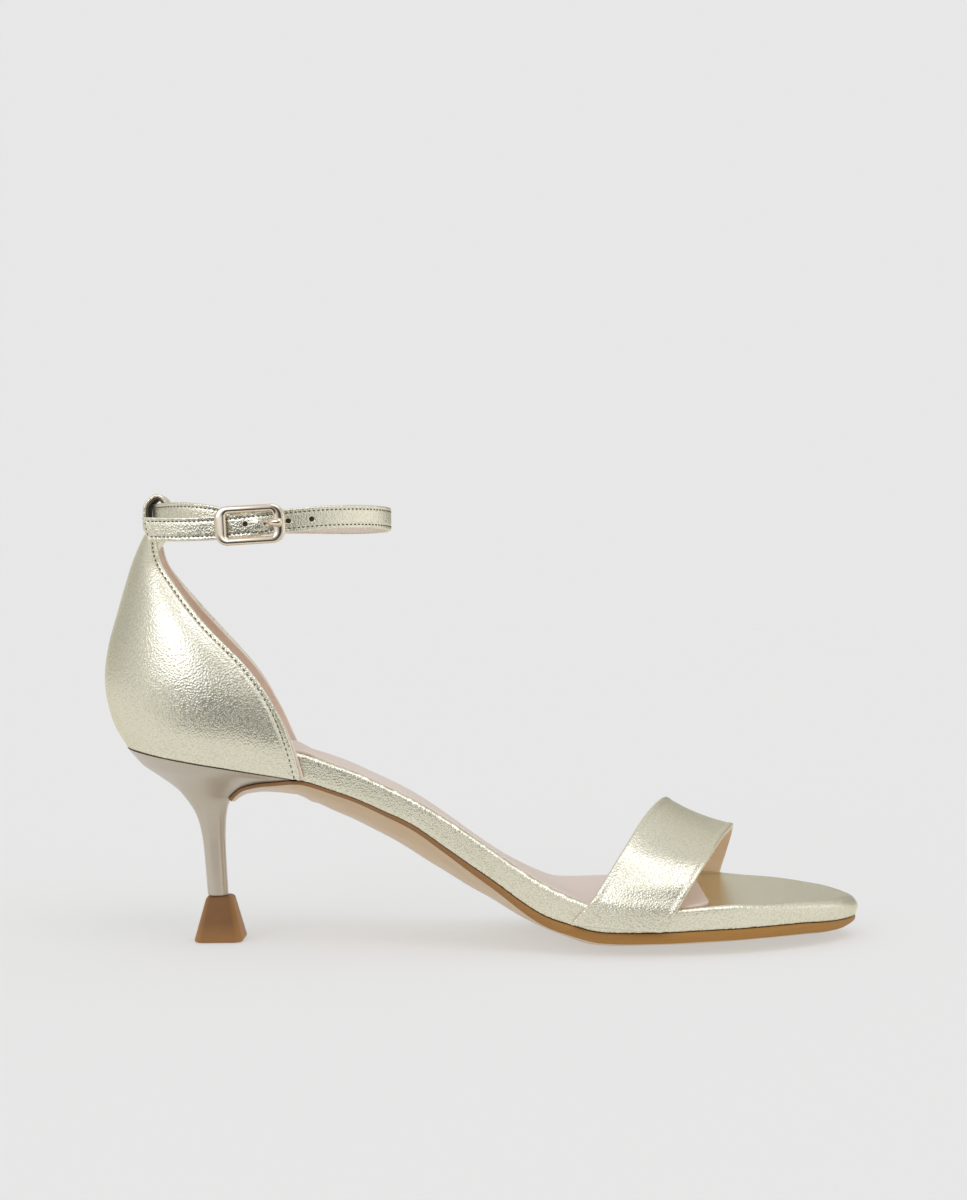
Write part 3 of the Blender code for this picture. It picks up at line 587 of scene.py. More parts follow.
# Heel: a moulded plastic heel sprayed in satin champagne, a slim four-sided stem that flares out
# to the seat under the counter. It is nailed up through the board.
HEEL_STEPS = 8
HEEL_STATIONS = 44
STEM_CORNER = 1.9
STEM_TOP_LEVEL = 3
FLARE_LEVELS = 1.25
SEAT_CORNER = 0.25
HEEL_SHARP = math.radians(50)
TAPER_LEAST = 3.0
PAINT_LIGHT = (0.62, 0.55, 0.445, 1.0)
PAINT_DEEP = (0.53, 0.465, 0.365, 1.0)
heel_paint, tree, shader, place = new_finish(
    "heel_paint", Metallic=0.6, Coat_Weight=0.1, Coat_Roughness=0.3
)
flake = speckle(tree, place, 3200.0, 2.0)
colour(tree, shader, flake, PAINT_LIGHT, PAINT_DEEP)
roughen(tree, shader, speckle(tree, place, 90.0, 2.0), 0.28, 0.36)
emboss(tree, shader, flake, 0.08, 0.00005)


def round_back(distance, depth, row):
    """Half width of a heel section at a distance from its back: a half ellipse, then a taper."""
    if distance < row["round_depth"]:
        across = 1 - distance / row["round_depth"]
        return row["half"] * math.sqrt(max(1 - across * across, 0))
    along = (distance - row["round_depth"]) / max(depth - row["round_depth"], TAPER_LEAST)
    return lerp(row["half"], row["front_half"], along * along)


def section(rows, level):
    return {field: read(rows, field, level) for field in rows[0]._fields[1:]}


def section_point(row, q, v, front="front_x"):
    """Point of a tilted heel section: q from its back to its front, v across it."""
    depth = row[front] - row["back_x"]
    half = round_back(depth * q * q, depth, row)
    x = lerp(row["back_x"], row[front], q * q)
    return np.array((x, v * half, lerp(row["back_z"], row["front_z"], q * q)))


def heel_cut(level):
    """Grid across the heel at a level, its front corners round on the stem."""
    row = section(HEEL, level)
    depth = row["front_x"] - row["back_x"]
    flared = min(max((level - STEM_TOP_LEVEL) / FLARE_LEVELS, 0), 1)
    radius = lerp(STEM_CORNER, SEAT_CORNER, flared)
    grid = []
    for i in range(HEEL_STATIONS - 1):
        along = (1 - math.cos(math.pi * (i + 0.5) / (HEEL_STATIONS - 0.5))) / 2
        into = max(radius - depth * (1 - along), 0)
        narrow = radius - math.sqrt(radius * radius - into * into)
        share = 1 - narrow / round_back(depth * along, depth, row)
        grid.append([section_point(row, math.sqrt(along), v * share) for v in ACROSS])
    grid.append([breast_point(level, v * (1 - radius / row["front_half"]), 0) for v in ACROSS])
    return np.array(grid)


heel_levels = np.linspace(0, HEEL[-1].level, (len(HEEL) - 1) * HEEL_STEPS + 1)
heel_cuts = [heel_cut(level) for level in heel_levels]
heel = closed_form(
    "heel_block", heel_cuts[0], [rim(cut) for cut in heel_cuts[1:-1]], heel_cuts[-1], [heel_paint]
)
heel.data.set_sharp_from_angle(angle=HEEL_SHARP)
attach(heel, "root")
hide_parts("heel")

# Toplift: a block of honey-brown rubber pushed on a pin in the stem, flared to a square foot,
# with its edges rounded by the mould.
TOPLIFT_X = -83.2
TOPLIFT_FOOT = 15.6
TOPLIFT_HEAD = 8.2
TOPLIFT_HIGH = 14.0
TOPLIFT_ROUND = 0.9
TOPLIFT_CORNER = 2.6
TOPLIFT_HEAD_CORNER = 1.4
TOPLIFT_CORNER_STEPS = 10
TOPLIFT_EDGE_STEPS = 6
TOPLIFT_SIDE_STEPS = 12
RUBBER_MIDDLE = (0.19, 0.088, 0.028, 1.0)
RUBBER_FOOT_PAINTED_LIGHT = (0.33, 0.16, 0.045, 1.0)
RUBBER_PAINTED_EDGE_GLOW = (0.50, 0.26, 0.09, 1.0)
heel_rubber, tree, shader, place = new_finish(
    "heel_rubber",
    Roughness=0.5,
    Specular_IOR_Level=0.3,
    Subsurface_Weight=0.25,
    Subsurface_Radius=(1.0, 0.5, 0.2),
    Subsurface_Scale=0.0018,
)


def reckon(tree, operation, first, second=0.0):
    """Output of one step of arithmetic on two values or node outputs."""
    made = add_node(tree, "ShaderNodeMath", {"operation": operation})
    for socket, value in zip(made.inputs, (first, second)):
        feed(tree, socket, value)
    return made.outputs["Value"]


spot = add_node(tree, "ShaderNodeSeparateXYZ", Vector=place)
up = spot.outputs["Z"]
cloud = speckle(tree, place, 170.0, 3.0)
half = map_value(tree, up, 0.0, TOPLIFT_HIGH * MM, TOPLIFT_FOOT / 2 * MM, TOPLIFT_HEAD / 2 * MM)
aside = reckon(tree, "ABSOLUTE", reckon(tree, "SUBTRACT", spot.outputs["X"], TOPLIFT_X * MM))
# The rubber is painted lighter towards its foot and at its thin side edges: painted light for the glow
# through the translucent rubber.
foot_painted_light_share = map_value(tree, up, 0.006, 0.0, 0.0, 0.8)
painted_edge_glow_share = map_value(tree, reckon(tree, "DIVIDE", aside, half), 0.7, 1.0, 0.0, 0.65)
tone = mix_colours(tree, sum_of(tree, foot_painted_light_share, 0.35, cloud), RUBBER_MIDDLE, RUBBER_FOOT_PAINTED_LIGHT)
colour(tree, shader, painted_edge_glow_share, tone, RUBBER_PAINTED_EDGE_GLOW)
emboss(tree, shader, cloud, 0.12, 0.0001)


def toplift_ring(height, inset):
    """Square outline with round corners at a height of the toplift."""
    half = lerp(TOPLIFT_FOOT, TOPLIFT_HEAD, height / TOPLIFT_HIGH) / 2 - inset
    radius = lerp(TOPLIFT_CORNER, TOPLIFT_HEAD_CORNER, height / TOPLIFT_HIGH)
    ring = []
    for corner, (sx, sy) in enumerate(((1, 1), (-1, 1), (-1, -1), (1, -1))):
        for turn in np.linspace(0, math.pi / 2, TOPLIFT_CORNER_STEPS):
            turn += corner * math.pi / 2
            x = TOPLIFT_X + sx * (half - radius) + radius * math.cos(turn)
            ring.append((x, sy * (half - radius) + radius * math.sin(turn), height))
    return ring


def add_tube(points, faces, rings):
    """Add a closed tube through rings of points to the lists of a mesh."""
    base, around = len(points), len(rings[0])
    last = base + (len(rings) - 1) * around
    for ring in rings:
        points.extend(ring)
    for start in range(base, last, around):
        for n in range(around):
            m = (n + 1) % around
            faces.append((start + n, start + m, start + around + m, start + around + n))
    faces.append(tuple(range(base, base + around)))
    faces.append(tuple(range(last, last + around)))


rings = []
for turn in np.linspace(0, math.pi / 2, TOPLIFT_EDGE_STEPS):
    rise, inset = 1 - math.cos(turn), 1 - math.sin(turn)
    rings.append(toplift_ring(TOPLIFT_ROUND * rise, TOPLIFT_ROUND * inset))
for level in np.linspace(TOPLIFT_ROUND, TOPLIFT_HIGH - TOPLIFT_ROUND, TOPLIFT_SIDE_STEPS)[1:-1]:
    rings.append(toplift_ring(level, 0.0))
for turn in np.linspace(0, math.pi / 2, TOPLIFT_EDGE_STEPS):
    drop, inset = 1 - math.sin(turn), 1 - math.cos(turn)
    rings.append(toplift_ring(TOPLIFT_HIGH - TOPLIFT_ROUND * drop, TOPLIFT_ROUND * inset))
points, faces = [], []
add_tube(points, faces, rings)
toplift = mesh_piece("toplift_rubber", points, faces, [heel_rubber])
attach(toplift, "root")
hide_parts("toplift")

# Counter: the closed heel of the upper, foiled leather over a stiffener, lasted under the board
# at the seat. Its topline is folded and stitched down, and a beige lining backs it.
CounterRow = namedtuple(
    "CounterRow", "level back_x back_z front_x front_z inner_x half round_depth front_half"
)
COUNTER = [CounterRow(*row) for row in (
    (0, -112.0, 61.6, -55.0, 52.0, -57.8, 25.5, 28.0, 24.8),
    (1, -116.5, 69.8, -57.9, 63.7, -62.5, 28.8, 33.0, 27.0),
    (2, -118.9, 81.5, -62.4, 74.6, -67.3, 29.4, 35.0, 26.9),
    (3, -117.9, 92.5, -70.2, 86.1, -74.2, 28.1, 32.0, 25.6),
    (4, -114.4, 105.2, -83.4, 99.6, -85.8, 24.8, 24.0, 22.9),
    (5, -110.8, 117.2, -94.4, 113.2, -97.2, 18.9, 13.5, 17.7),
    (6, -108.2, 124.0, -99.0, 120.5, -101.6, 14.6, 8.6, 13.3),
    (7, -106.0, 128.8, -100.8, 126.5, -102.4, 9.2, 5.0, 8.4),
)]
COUNTER_ROWS = 90
COUNTER_COLUMNS = 90
TOPLINE_SEAM = {"margin": 2.2, "wide": 0.5, "high": -0.3}
TOPLINE_PUFF = {"margin": 3.8, "wide": 1.0, "high": 0.14}
TOPLINE_FOLD = {"margin": 0.9, "wide": 0.7, "high": 0.12}
DENT_LONG = 9.0
DENT_DEEP = 0.07
COUNTER_LEATHER = 1.2
COUNTER_LINING = 0.8
LINING_REACH = 0.6
LINING_FOOT = 1.3
LINING_DROP = 0.5
LINING_LEAST = 0.25
RIM_TURNS = 6


def normals_of(grid):
    """Unit normals of a grid of points."""
    normal = np.cross(np.gradient(grid, axis=0), np.gradient(grid, axis=1))
    return normal / np.linalg.norm(normal, axis=2, keepdims=True)


def outward(grid):
    """Directions that point out of a grid's edge, in its surface, and zero elsewhere."""
    out = np.zeros_like(grid)
    out[0] += grid[0] - grid[1]
    out[-1] += grid[-1] - grid[-2]
    out[:, 0] += grid[:, 0] - grid[:, 1]
    out[:, -1] += grid[:, -1] - grid[:, -2]
    length = np.linalg.norm(out, axis=2, keepdims=True)
    return np.divide(out, length, out=np.zeros_like(out), where=length > 0)


def distances(line):
    """Distance of each point of a line from its start."""
    steps = np.linalg.norm(np.diff(line[:, :3], axis=0), axis=1)
    return np.concatenate(([0.0], np.cumsum(steps)))


def at_distances(line, travelled, goals):
    """Points of a line, with any further columns, at chosen distances from its start."""
    return np.stack([np.interp(goals, travelled, column) for column in line.T], axis=1)


def drawn_in(grid, inset):
    """The grid pulled in from its four edges by one distance."""
    for turn in range(2):
        lines = []
        for line in grid:
            travelled = distances(line)
            goals = inset + travelled * (1 - 2 * inset / travelled[-1])
            lines.append(at_distances(line, travelled, goals))
        grid = np.array(lines).transpose(1, 0, 2)
    return grid


def leather_sheet(name, face, thick, finish):
    """A sheet behind a grid of points, to its negative side, with a rounded edge."""
    face = drawn_in(face, thick / 2)
    back = normals_of(face) * -thick
    edge = rim(outward(face))
    middle = rim(face + back / 2)
    half = rim(back / 2)
    loops = []
    for k in range(1, RIM_TURNS):
        turn = math.pi * k / RIM_TURNS
        loops.append(middle - half * math.cos(turn) + edge * (thick / 2 * math.sin(turn)))
    return closed_form(name, face, loops, face + back, [finish])


def counter_face(reach):
    """Grid of the counter's wall, from its outer front edge round the back to the inner one."""
    half_turn = np.sin(np.linspace(0, math.pi / 2, COUNTER_COLUMNS))
    places = [*(-half_turn[:0:-1]), *half_turn]
    rows = []
    for level in np.linspace(0, COUNTER[-1].level, COUNTER_ROWS):
        row = section(COUNTER, level)
        row["front_x"] += reach * max(LINING_FOOT - level * LINING_DROP, LINING_LEAST)
        row["inner_x"] += reach
        line = []
        for u in places:
            front = "inner_x" if u > 0 else "front_x"
            line.append(section_point(row, abs(u), math.copysign(1, u), front))
        rows.append(line)
    return np.array(rows)


def edge_distance(grid):
    """Distance of each point of a grid from the nearer end of its row."""
    steps = np.linalg.norm(np.diff(grid, axis=1), axis=2)
    travelled = np.concatenate((np.zeros((len(grid), 1)), np.cumsum(steps, axis=1)), axis=1)
    return np.minimum(travelled, travelled[:, -1:] - travelled)


def ridge(distance, margin, wide, high):
    """Height of a soft ridge that runs at a margin from the edge."""
    return np.exp(-(((distance - margin) / wide) ** 2)) * high


def soft_dents(grid, size, depth):
    """Slow unevenness of hand-lasted leather, as a height for each point of a grid."""
    return np.array([[noise.noise(Vector(point) / size) * depth for point in row] for row in grid])


counter_plain = counter_face(0.0)
from_edge = edge_distance(counter_plain)
topline = sum(ridge(from_edge, **form) for form in (TOPLINE_SEAM, TOPLINE_PUFF, TOPLINE_FOLD))
lift = topline + soft_dents(counter_plain, DENT_LONG, DENT_DEEP)
counter_outer = counter_plain + normals_of(counter_plain) * lift[:, :, None]
counter = leather_sheet("counter_leather", counter_outer, COUNTER_LEATHER, foil_leather)
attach(counter, "root")
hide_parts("counter")

LINING_LIGHT = (0.90, 0.77, 0.66, 1.0)
LINING_DEEP = (0.86, 0.71, 0.59, 1.0)


def lining_finish(name, light, deep):
    """Soft lining leather in two near tones."""
    made, tree, shader, place = new_finish(name, Roughness=0.55, Sheen_Weight=0.08)
    colour(tree, shader, speckle(tree, place, 45.0, 4.0), light, deep)
    emboss(tree, shader, leather_grain(tree, place, 0.0006, 0.0005)[0], 0.25, 0.00008)
    return made


counter_beige = lining_finish("counter_beige", LINING_LIGHT, LINING_DEEP)
lining_plain = counter_face(LINING_REACH)[:, ::2]
lining_face = lining_plain - normals_of(lining_plain) * COUNTER_LEATHER
counter_lining = leather_sheet("counter_lining", lining_face, COUNTER_LINING, counter_beige)
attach(counter_lining, "root")

# Topline stitching: one row of waxed thread that holds the counter's folded edge, a little in
# from the fold, on both sides of the foot.
# The thread is coloured dark: its own tone together with painted shade for the sunk needle holes it sits
# in.
THREAD_WITH_HOLE_SHADE = (0.16, 0.135, 0.09, 1.0)
THREAD_WITH_HOLE_SHADE_DEEP = (0.09, 0.075, 0.05, 1.0)
stitch_thread_and_shade, tree, shader, place = new_finish("stitch_thread_and_shade", Roughness=0.55, Sheen_Weight=0.1)
twist = add_node(tree, "ShaderNodeTexWave", Vector=place, Scale=900.0, Distortion=2.0).outputs["Fac"]
colour(tree, shader, twist, THREAD_WITH_HOLE_SHADE, THREAD_WITH_HOLE_SHADE_DEEP)
STITCH_SIDES = 6
STITCH_FLAT = 0.75
STITCH_RINGS = ((-1.0, 0.3), (-0.75, 0.85), (0.0, 1.0), (0.75, 0.85), (1.0, 0.3))


def resample(line, count):
    """Points at even distances along a line, with any further columns carried along."""
    line = np.asarray(line, float)
    travelled = distances(line)
    return at_distances(line, travelled, np.linspace(0, travelled[-1], count))


def stitch_row(name, line, pitch, length, radius, finish):
    """A row of stitches along a line of points that carry their surface normals."""
    even = resample(line, 2 * max(int(distances(line)[-1] / pitch), 1) + 1)
    points, faces = [], []
    for k in range(1, len(even) - 1, 2):
        centre, normal = even[k, :3], even[k, 3:6] / np.linalg.norm(even[k, 3:6])
        along = even[k + 1, :3] - even[k - 1, :3]
        along /= np.linalg.norm(along)
        side = np.cross(along, normal)
        rings = []
        for at, share in STITCH_RINGS:
            ring = []
            for turn in np.linspace(0, 2 * math.pi, STITCH_SIDES, endpoint=False):
                out = side * math.cos(turn) + normal * (STITCH_FLAT * math.sin(turn))
                ring.append(centre + along * (at * length / 2) + out * (radius * share))
            rings.append(ring)
        add_tube(points, faces, rings)
    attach(mesh_piece(name, points, faces, [finish]), "root")


def line_inside(grid, distance, sink):
    """Line on a grid at a distance from its first column, with the surface's normals."""
    normals = normals_of(grid)
    line = []
    for points, row_normals in zip(grid, normals):
        both = np.concatenate((points + row_normals * sink, row_normals), axis=1)
        line.append(at_distances(both, distances(points), [distance])[0])
    return np.array(line)


TOPLINE_PITCH = 1.8
TOPLINE_STITCH = 1.0
TOPLINE_THREAD = 0.24
TOPLINE_RISE = 0.02
outer_seam = line_inside(counter_outer, TOPLINE_SEAM["margin"], TOPLINE_RISE)
inner_seam = line_inside(counter_outer[:, ::-1], TOPLINE_SEAM["margin"], TOPLINE_RISE)
inner_seam[:, 3:] *= -1
for name, seam in (("topline_stitches_outer", outer_seam), ("topline_stitches_inner", inner_seam)):
    stitch_row(name, seam, TOPLINE_PITCH, TOPLINE_STITCH, TOPLINE_THREAD, stitch_thread_and_shade)

# Forefoot strap: one wide band of foiled leather over the toes, its edges folded, lined in
# beige, and tucked at both ends between the platform and the outsole.
VampRow = namedtuple("VampRow", "row back_x back_z front_x front_z side")
VAMP = [VampRow(*row) for row in (
    (0, 25.5, 9.6, 53.2, 7.6, -1.0),
    (1, 32.2, 17.2, 57.7, 14.2, -1.0),
    (1.3, 33.4, 18.9, 59.5, 16.9, -0.98),
    (2, 36.0, 22.8, 63.4, 23.0, -0.935),
    (3, 42.7, 32.3, 68.3, 29.0, -0.78),
    (4, 50.3, 40.8, 73.9, 33.2, -0.44),
    (5, 57.0, 43.9, 79.4, 34.8, 0.0),
    (6, 60.5, 40.8, 81.8, 33.0, 0.44),
    (7, 60.5, 32.0, 82.6, 28.6, 0.78),
    (8, 57.0, 22.8, 81.7, 22.0, 0.935),
    (9, 54.5, 15.6, 80.0, 14.6, 1.0),
    (10, 53.0, 8.2, 79.8, 8.3, 1.0),
)]
VAMP_WALL = 1.8
VAMP_LEATHER = 1.15
VAMP_ROWS = 90
VAMP_COLUMNS = 48
VAMP_HOLLOW = 1.3
VAMP_FOLD = {"margin": 1.1, "wide": 0.7, "high": 0.1}
VAMP_FOLD_STEP = {"margin": 2.6, "wide": 0.6, "high": -0.05}
VAMP_DENT_LONG = 8.0
VAMP_DENT_DEEP = 0.14
VAMP_LINING_INSET = 0.2
PEACH_LIGHT = (0.88, 0.69, 0.47, 1.0)
PEACH_DEEP = (0.82, 0.61, 0.39, 1.0)


def vamp_point(row, along):
    """Outer face of the forefoot strap, along it from its back edge to its front edge."""
    at = section(VAMP, row)
    x = lerp(at["back_x"], at["front_x"], along)
    half = plan_half(x) + VAMP_WALL + GAP
    hollow = VAMP_HOLLOW * math.sin(math.pi * row / VAMP[-1].row) * 4 * along * (1 - along)
    z = lerp(at["back_z"], at["front_z"], along) - hollow
    return np.array((x, read(PLAN, "centre", x) + at["side"] * half, z))


front_to_back = (1 - np.sin(np.linspace(-math.pi / 2, math.pi / 2, VAMP_COLUMNS))) / 2
vamp_plain = np.array([
    [vamp_point(row, along) for along in front_to_back]
    for row in np.linspace(0, VAMP[-1].row, VAMP_ROWS)
])
from_edge = edge_distance(vamp_plain)
folded = ridge(from_edge, **VAMP_FOLD) + ridge(from_edge, **VAMP_FOLD_STEP)
lift = folded + soft_dents(vamp_plain, VAMP_DENT_LONG, VAMP_DENT_DEEP)
vamp_outer = vamp_plain + normals_of(vamp_plain) * lift[:, :, None]
forefoot_strap = leather_sheet("forefoot_strap", vamp_outer, VAMP_LEATHER, foil_leather)
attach(forefoot_strap, "root")
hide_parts("vamp_strap")

vamp_inner = drawn_in(vamp_plain - normals_of(vamp_plain) * VAMP_LEATHER, VAMP_LINING_INSET)
forefoot_peach = lining_finish("forefoot_peach", PEACH_LIGHT, PEACH_DEEP)
forefoot_lining = leather_sheet("forefoot_lining", vamp_inner, VAMP_WALL - VAMP_LEATHER, forefoot_peach)
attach(forefoot_lining, "root")

# Ankle strap: one long ribbon of foiled leather with a beige backing, its edges folded and
# stitched. It starts in a fold round the buckle's bar, runs through the heel loop and round the
# ankle, and its punched free end comes back through the buckle.
BUCKLE_X = -69.2
BUCKLE_Y = -27.2
BUCKLE_Z = 130.2
BAR_RADIUS = 0.7
BAR_DROP = 3.6
STRAP_WIDE = 7.2
STRAP_THICK = 1.5
STRAP_LEATHER = 0.9
STRAP_STEP = 0.6
STRAP_TIP_CUT = 1.8
STRAP_TIP_STEPS = 7
CURVE_SAMPLES = 24
FOLD_RADIUS = BAR_RADIUS + GAP + STRAP_THICK / 2
FOLD_ANGLES = range(-5, 96, 10)
STRAP_ROUTE = [
    (-76.0, -21.4, 131.2),
    (-82.0, -20.9, 132.8),
    (-89.0, -18.4, 133.8),
    (-95.5, -14.2, 134.1),
    (-100.6, -7.6, 134.1),
    (-102.9, 0.0, 134.1),
    (-100.6, 7.6, 134.1),
    (-95.0, 14.6, 134.0),
    (-85.0, 19.6, 133.6),
    (-70.0, 22.2, 132.9),
    (-55.0, 21.4, 132.6),
    (-42.0, 17.0, 132.2),
    (-32.6, 9.5, 132.2),
    (-29.0, 0.0, 132.5),
    (-31.6, -8.5, 132.8),
    (-39.0, -16.2, 132.8),
    (-49.0, -21.5, 132.3),
    (-60.0, -24.7, 131.2),
    (-69.5, -25.5, 130.2),
    (-79.0, -24.7, 129.4),
    (-88.0, -23.2, 129.1),
    (-96.0, -20.8, 129.2),
    (-104.0, -17.4, 129.5),
]
bar_centre = np.array((BUCKLE_X, BUCKLE_Y + BAR_DROP, BUCKLE_Z))


def smooth_route(route, step):
    """Evenly spaced points on the smooth curve through a route's points."""
    route = np.asarray(route, float)
    dense = []
    for i in range(len(route) - 1):
        before, start = route[max(i - 1, 0)], route[i]
        end, after = route[i + 1], route[min(i + 2, len(route) - 1)]
        for t in np.arange(CURVE_SAMPLES) / CURVE_SAMPLES:
            ease = t * t * (3 - 2 * t)
            pull = (end - before) * (t * (1 - t) ** 2 / 2) - (after - start) * (t * t * (1 - t) / 2)
            dense.append(start * (1 - ease) + end * ease + pull)
    dense.append(route[-1])
    length = np.linalg.norm(np.diff(dense, axis=0), axis=1).sum()
    return resample(dense, max(round(length / step), 2) + 1)


def ribbon(middle, across, wide, columns, away):
    """Grid of one face of a strap, away from its middle line along its own normal."""
    along = np.gradient(middle, axis=0)
    out = np.cross(along, across)
    out /= np.linalg.norm(out, axis=1, keepdims=True)
    places = np.linspace(0.5, -0.5, columns) * wide
    return (middle + out * away)[:, None, :] + places[None, :, None] * np.asarray(across, float)


fold = [
    bar_centre + FOLD_RADIUS * np.array((math.cos(math.radians(d)), math.sin(math.radians(d)), 0.0))
    for d in FOLD_ANGLES
]
strap_middle = np.concatenate((fold[:-1], smooth_route([*fold[-2:], *STRAP_ROUTE], STRAP_STEP)[1:]))
UP = np.array((0.0, 0.0, 1.0))
STRAP_COLUMNS = 21
STRAP_SEAM = {"margin": 1.25, "wide": 0.4, "high": -0.14}
STRAP_LINING_WIDE = STRAP_WIDE - 0.4
LINING_COLUMNS = 9
STRAP_DENT_LONG = 5.0
STRAP_DENT_DEEP = 0.06
BULGE_X = -67.3
BULGE_Z = 130.3
BULGE_LONG = 2.0
BULGE_TALL = 2.6
BULGE_HIGH = 0.7
TAIL_START = STRAP_ROUTE[-7]
tail_start = int(np.argmin(np.linalg.norm(strap_middle - np.array(TAIL_START), axis=1)))


def pushed_out(grid):
    """The strap's grid with the bulge that the bar under it presses into its free end."""
    near = ((grid[:, :, 0] - BULGE_X) / BULGE_LONG) ** 2 + ((grid[:, :, 2] - BULGE_Z) / BULGE_TALL) ** 2
    push = np.exp(-near) * BULGE_HIGH
    push[:tail_start] = 0.0
    return grid - push[:, :, None] * np.array((0.0, 1.0, 0.0))


strap_plain = pushed_out(ribbon(strap_middle, UP, STRAP_WIDE, STRAP_COLUMNS, -STRAP_THICK / 2))
from_edge = edge_distance(strap_plain)
lift = ridge(from_edge, **STRAP_SEAM) + soft_dents(strap_plain, STRAP_DENT_LONG, STRAP_DENT_DEEP)
strap_outer = strap_plain + normals_of(strap_plain) * lift[:, :, None]
strap_back = STRAP_LEATHER - STRAP_THICK / 2
strap_inner = pushed_out(ribbon(strap_middle, UP, STRAP_LINING_WIDE, LINING_COLUMNS, strap_back))


def cut_tip(grid):
    """The strap's grid with its free end cut on a slant, longer at the top."""
    along = strap_middle[-1] - strap_middle[-2]
    along /= np.linalg.norm(along)
    slant = np.linspace(0, STRAP_TIP_CUT, grid.shape[1])[None, :, None] * along
    reach = np.clip((np.arange(len(grid)) - len(grid) + 1) / STRAP_TIP_STEPS + 1, 0, 1)[:, None, None]
    return grid - slant * reach


def tail_depth(x):
    """Place across the foot of the middle of the strap's free end."""
    tail = strap_middle[tail_start:]
    return float(np.interp(-x, -tail[:, 0], tail[:, 1]))


HOLE_RADIUS = 0.8
HOLE_PLACES = ((-71.4, 130.4), (-58.4, 131.3), (-51.4, 131.9))
PRONG_HOLE = (-64.8, 130.7)
PRONG_HOLE_RADIUS = 1.0
HOLE_SIDES = 24
PUNCH_DEEP = 2.8
ankle_strap = leather_sheet("ankle_strap_leather", cut_tip(strap_outer), STRAP_LEATHER, foil_leather)
ankle_lining = leather_sheet(
    "ankle_strap_lining", cut_tip(strap_inner), STRAP_THICK - STRAP_LEATHER, sock_leather
)


def pegs(name, places, sunk, deep):
    """Round pegs across the strap's free end, each with a place and a radius."""
    shape = bmesh.new()
    for x, z, radius in places:
        middle = Matrix.Translation(Vector((x, tail_depth(x) + sunk, z)) * MM)
        bmesh.ops.create_cone(
            shape,
            cap_ends=True,
            segments=HOLE_SIDES,
            radius1=radius * MM,
            radius2=radius * MM,
            depth=deep * MM,
            matrix=middle @ Matrix.Rotation(math.radians(90), 4, "X"),
        )
    mesh = bpy.data.meshes.new(name)
    shape.to_mesh(mesh)
    shape.free()
    made = bpy.data.objects.new(name, mesh)
    bpy.context.scene.collection.objects.link(made)
    return made


def punch(piece, holes):
    """Cut round holes through the strap's free end."""
    tool = pegs("punch", holes, 0.0, PUNCH_DEEP)
    cut = piece.modifiers.new("holes", "BOOLEAN")
    cut.operation = "DIFFERENCE"
    cut.solver = "EXACT"
    cut.object = tool
    bpy.context.view_layer.update()
    shown = piece.evaluated_get(bpy.context.evaluated_depsgraph_get())
    mesh = bpy.data.meshes.new_from_object(shown)
    piece.modifiers.clear()
    piece.data = mesh
    bpy.data.objects.remove(tool)


strap_holes = [(x, z, HOLE_RADIUS) for x, z in HOLE_PLACES] + [(*PRONG_HOLE, PRONG_HOLE_RADIUS)]
for piece in (ankle_strap, ankle_lining):
    punch(piece, strap_holes)
    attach(piece, "root")
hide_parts("ankle_strap")

# Dark cores sunk in the punched holes: painted shade for the dark inside of each hole.
HOLE_PAINTED_SHADE = (0.045, 0.03, 0.02, 1.0)
HOLE_PAINTED_SHADE_LIGHT = (0.09, 0.06, 0.04, 1.0)
CORE_RADIUS = HOLE_RADIUS + 0.05
CORE_SUNK = 0.15
CORE_DEEP = 0.5
hole_painted_shade, tree, shader, place = new_finish("hole_painted_shade", Roughness=0.85)
colour(tree, shader, speckle(tree, place, 4000.0, 3.0), HOLE_PAINTED_SHADE, HOLE_PAINTED_SHADE_LIGHT)
core_places = [(x, z, CORE_RADIUS) for x, z in HOLE_PLACES]
hole_cores = pegs("strap_hole_fibres", core_places, CORE_SUNK, CORE_DEEP)
hole_cores.data.materials.append(hole_painted_shade)
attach(hole_cores, "root")

STRAP_PITCH = 1.42
STRAP_STITCH = 0.8
STRAP_THREAD = 0.23
STITCH_RISE = 0.04
TOP_END = -3
BOTTOM_END = -5
top_line = line_inside(strap_outer, STRAP_SEAM["margin"], STITCH_RISE)
bottom_line = line_inside(strap_outer[:, ::-1], STRAP_SEAM["margin"], -STITCH_RISE)
bottom_line[:, 3:] *= -1
past_fold = len(FOLD_ANGLES)
for name, line in (
    ("strap_stitches_top", top_line[past_fold:TOP_END]),
    ("strap_stitches_bottom", bottom_line[past_fold:BOTTOM_END]),
    ("strap_stitches_tip", np.array((top_line[TOP_END], bottom_line[BOTTOM_END]))),
):
    stitch_row(name, line, STRAP_PITCH, STRAP_STITCH, STRAP_THREAD, stitch_thread_and_shade)

# Heel loop: a folded strip of the same leather sewn to the top of the counter, that keeps the
# ankle strap up.
LOOP_WIDE = 9.4
LOOP_THICK = 1.7
LOOP_ROUTE = [
    (-105.3, 0.0, 129.3),
    (-105.4, 0.0, 134.0),
    (-104.9, 0.0, 137.6),
    (-101.8, 0.0, 140.2),
    (-99.3, 0.0, 138.0),
    (-98.9, 0.0, 133.5),
    (-100.2, 0.0, 128.5),
    (-103.0, 0.0, 124.0),
    (-105.4, 0.0, 120.5),
    (-106.0, 0.0, 118.0),
]
LOOP_STEP = 0.7
LOOP_COLUMNS = 15
LOOP_LEATHER = 1.1
LOOP_SHADE_SHEET_WIDE = LOOP_WIDE - 0.5
LOOP_PAINTED_SHADE = (0.075, 0.05, 0.035, 1.0)
LOOP_PAINTED_SHADE_LIGHT = (0.13, 0.09, 0.06, 1.0)
ACROSS_FOOT = np.array((0.0, 1.0, 0.0))
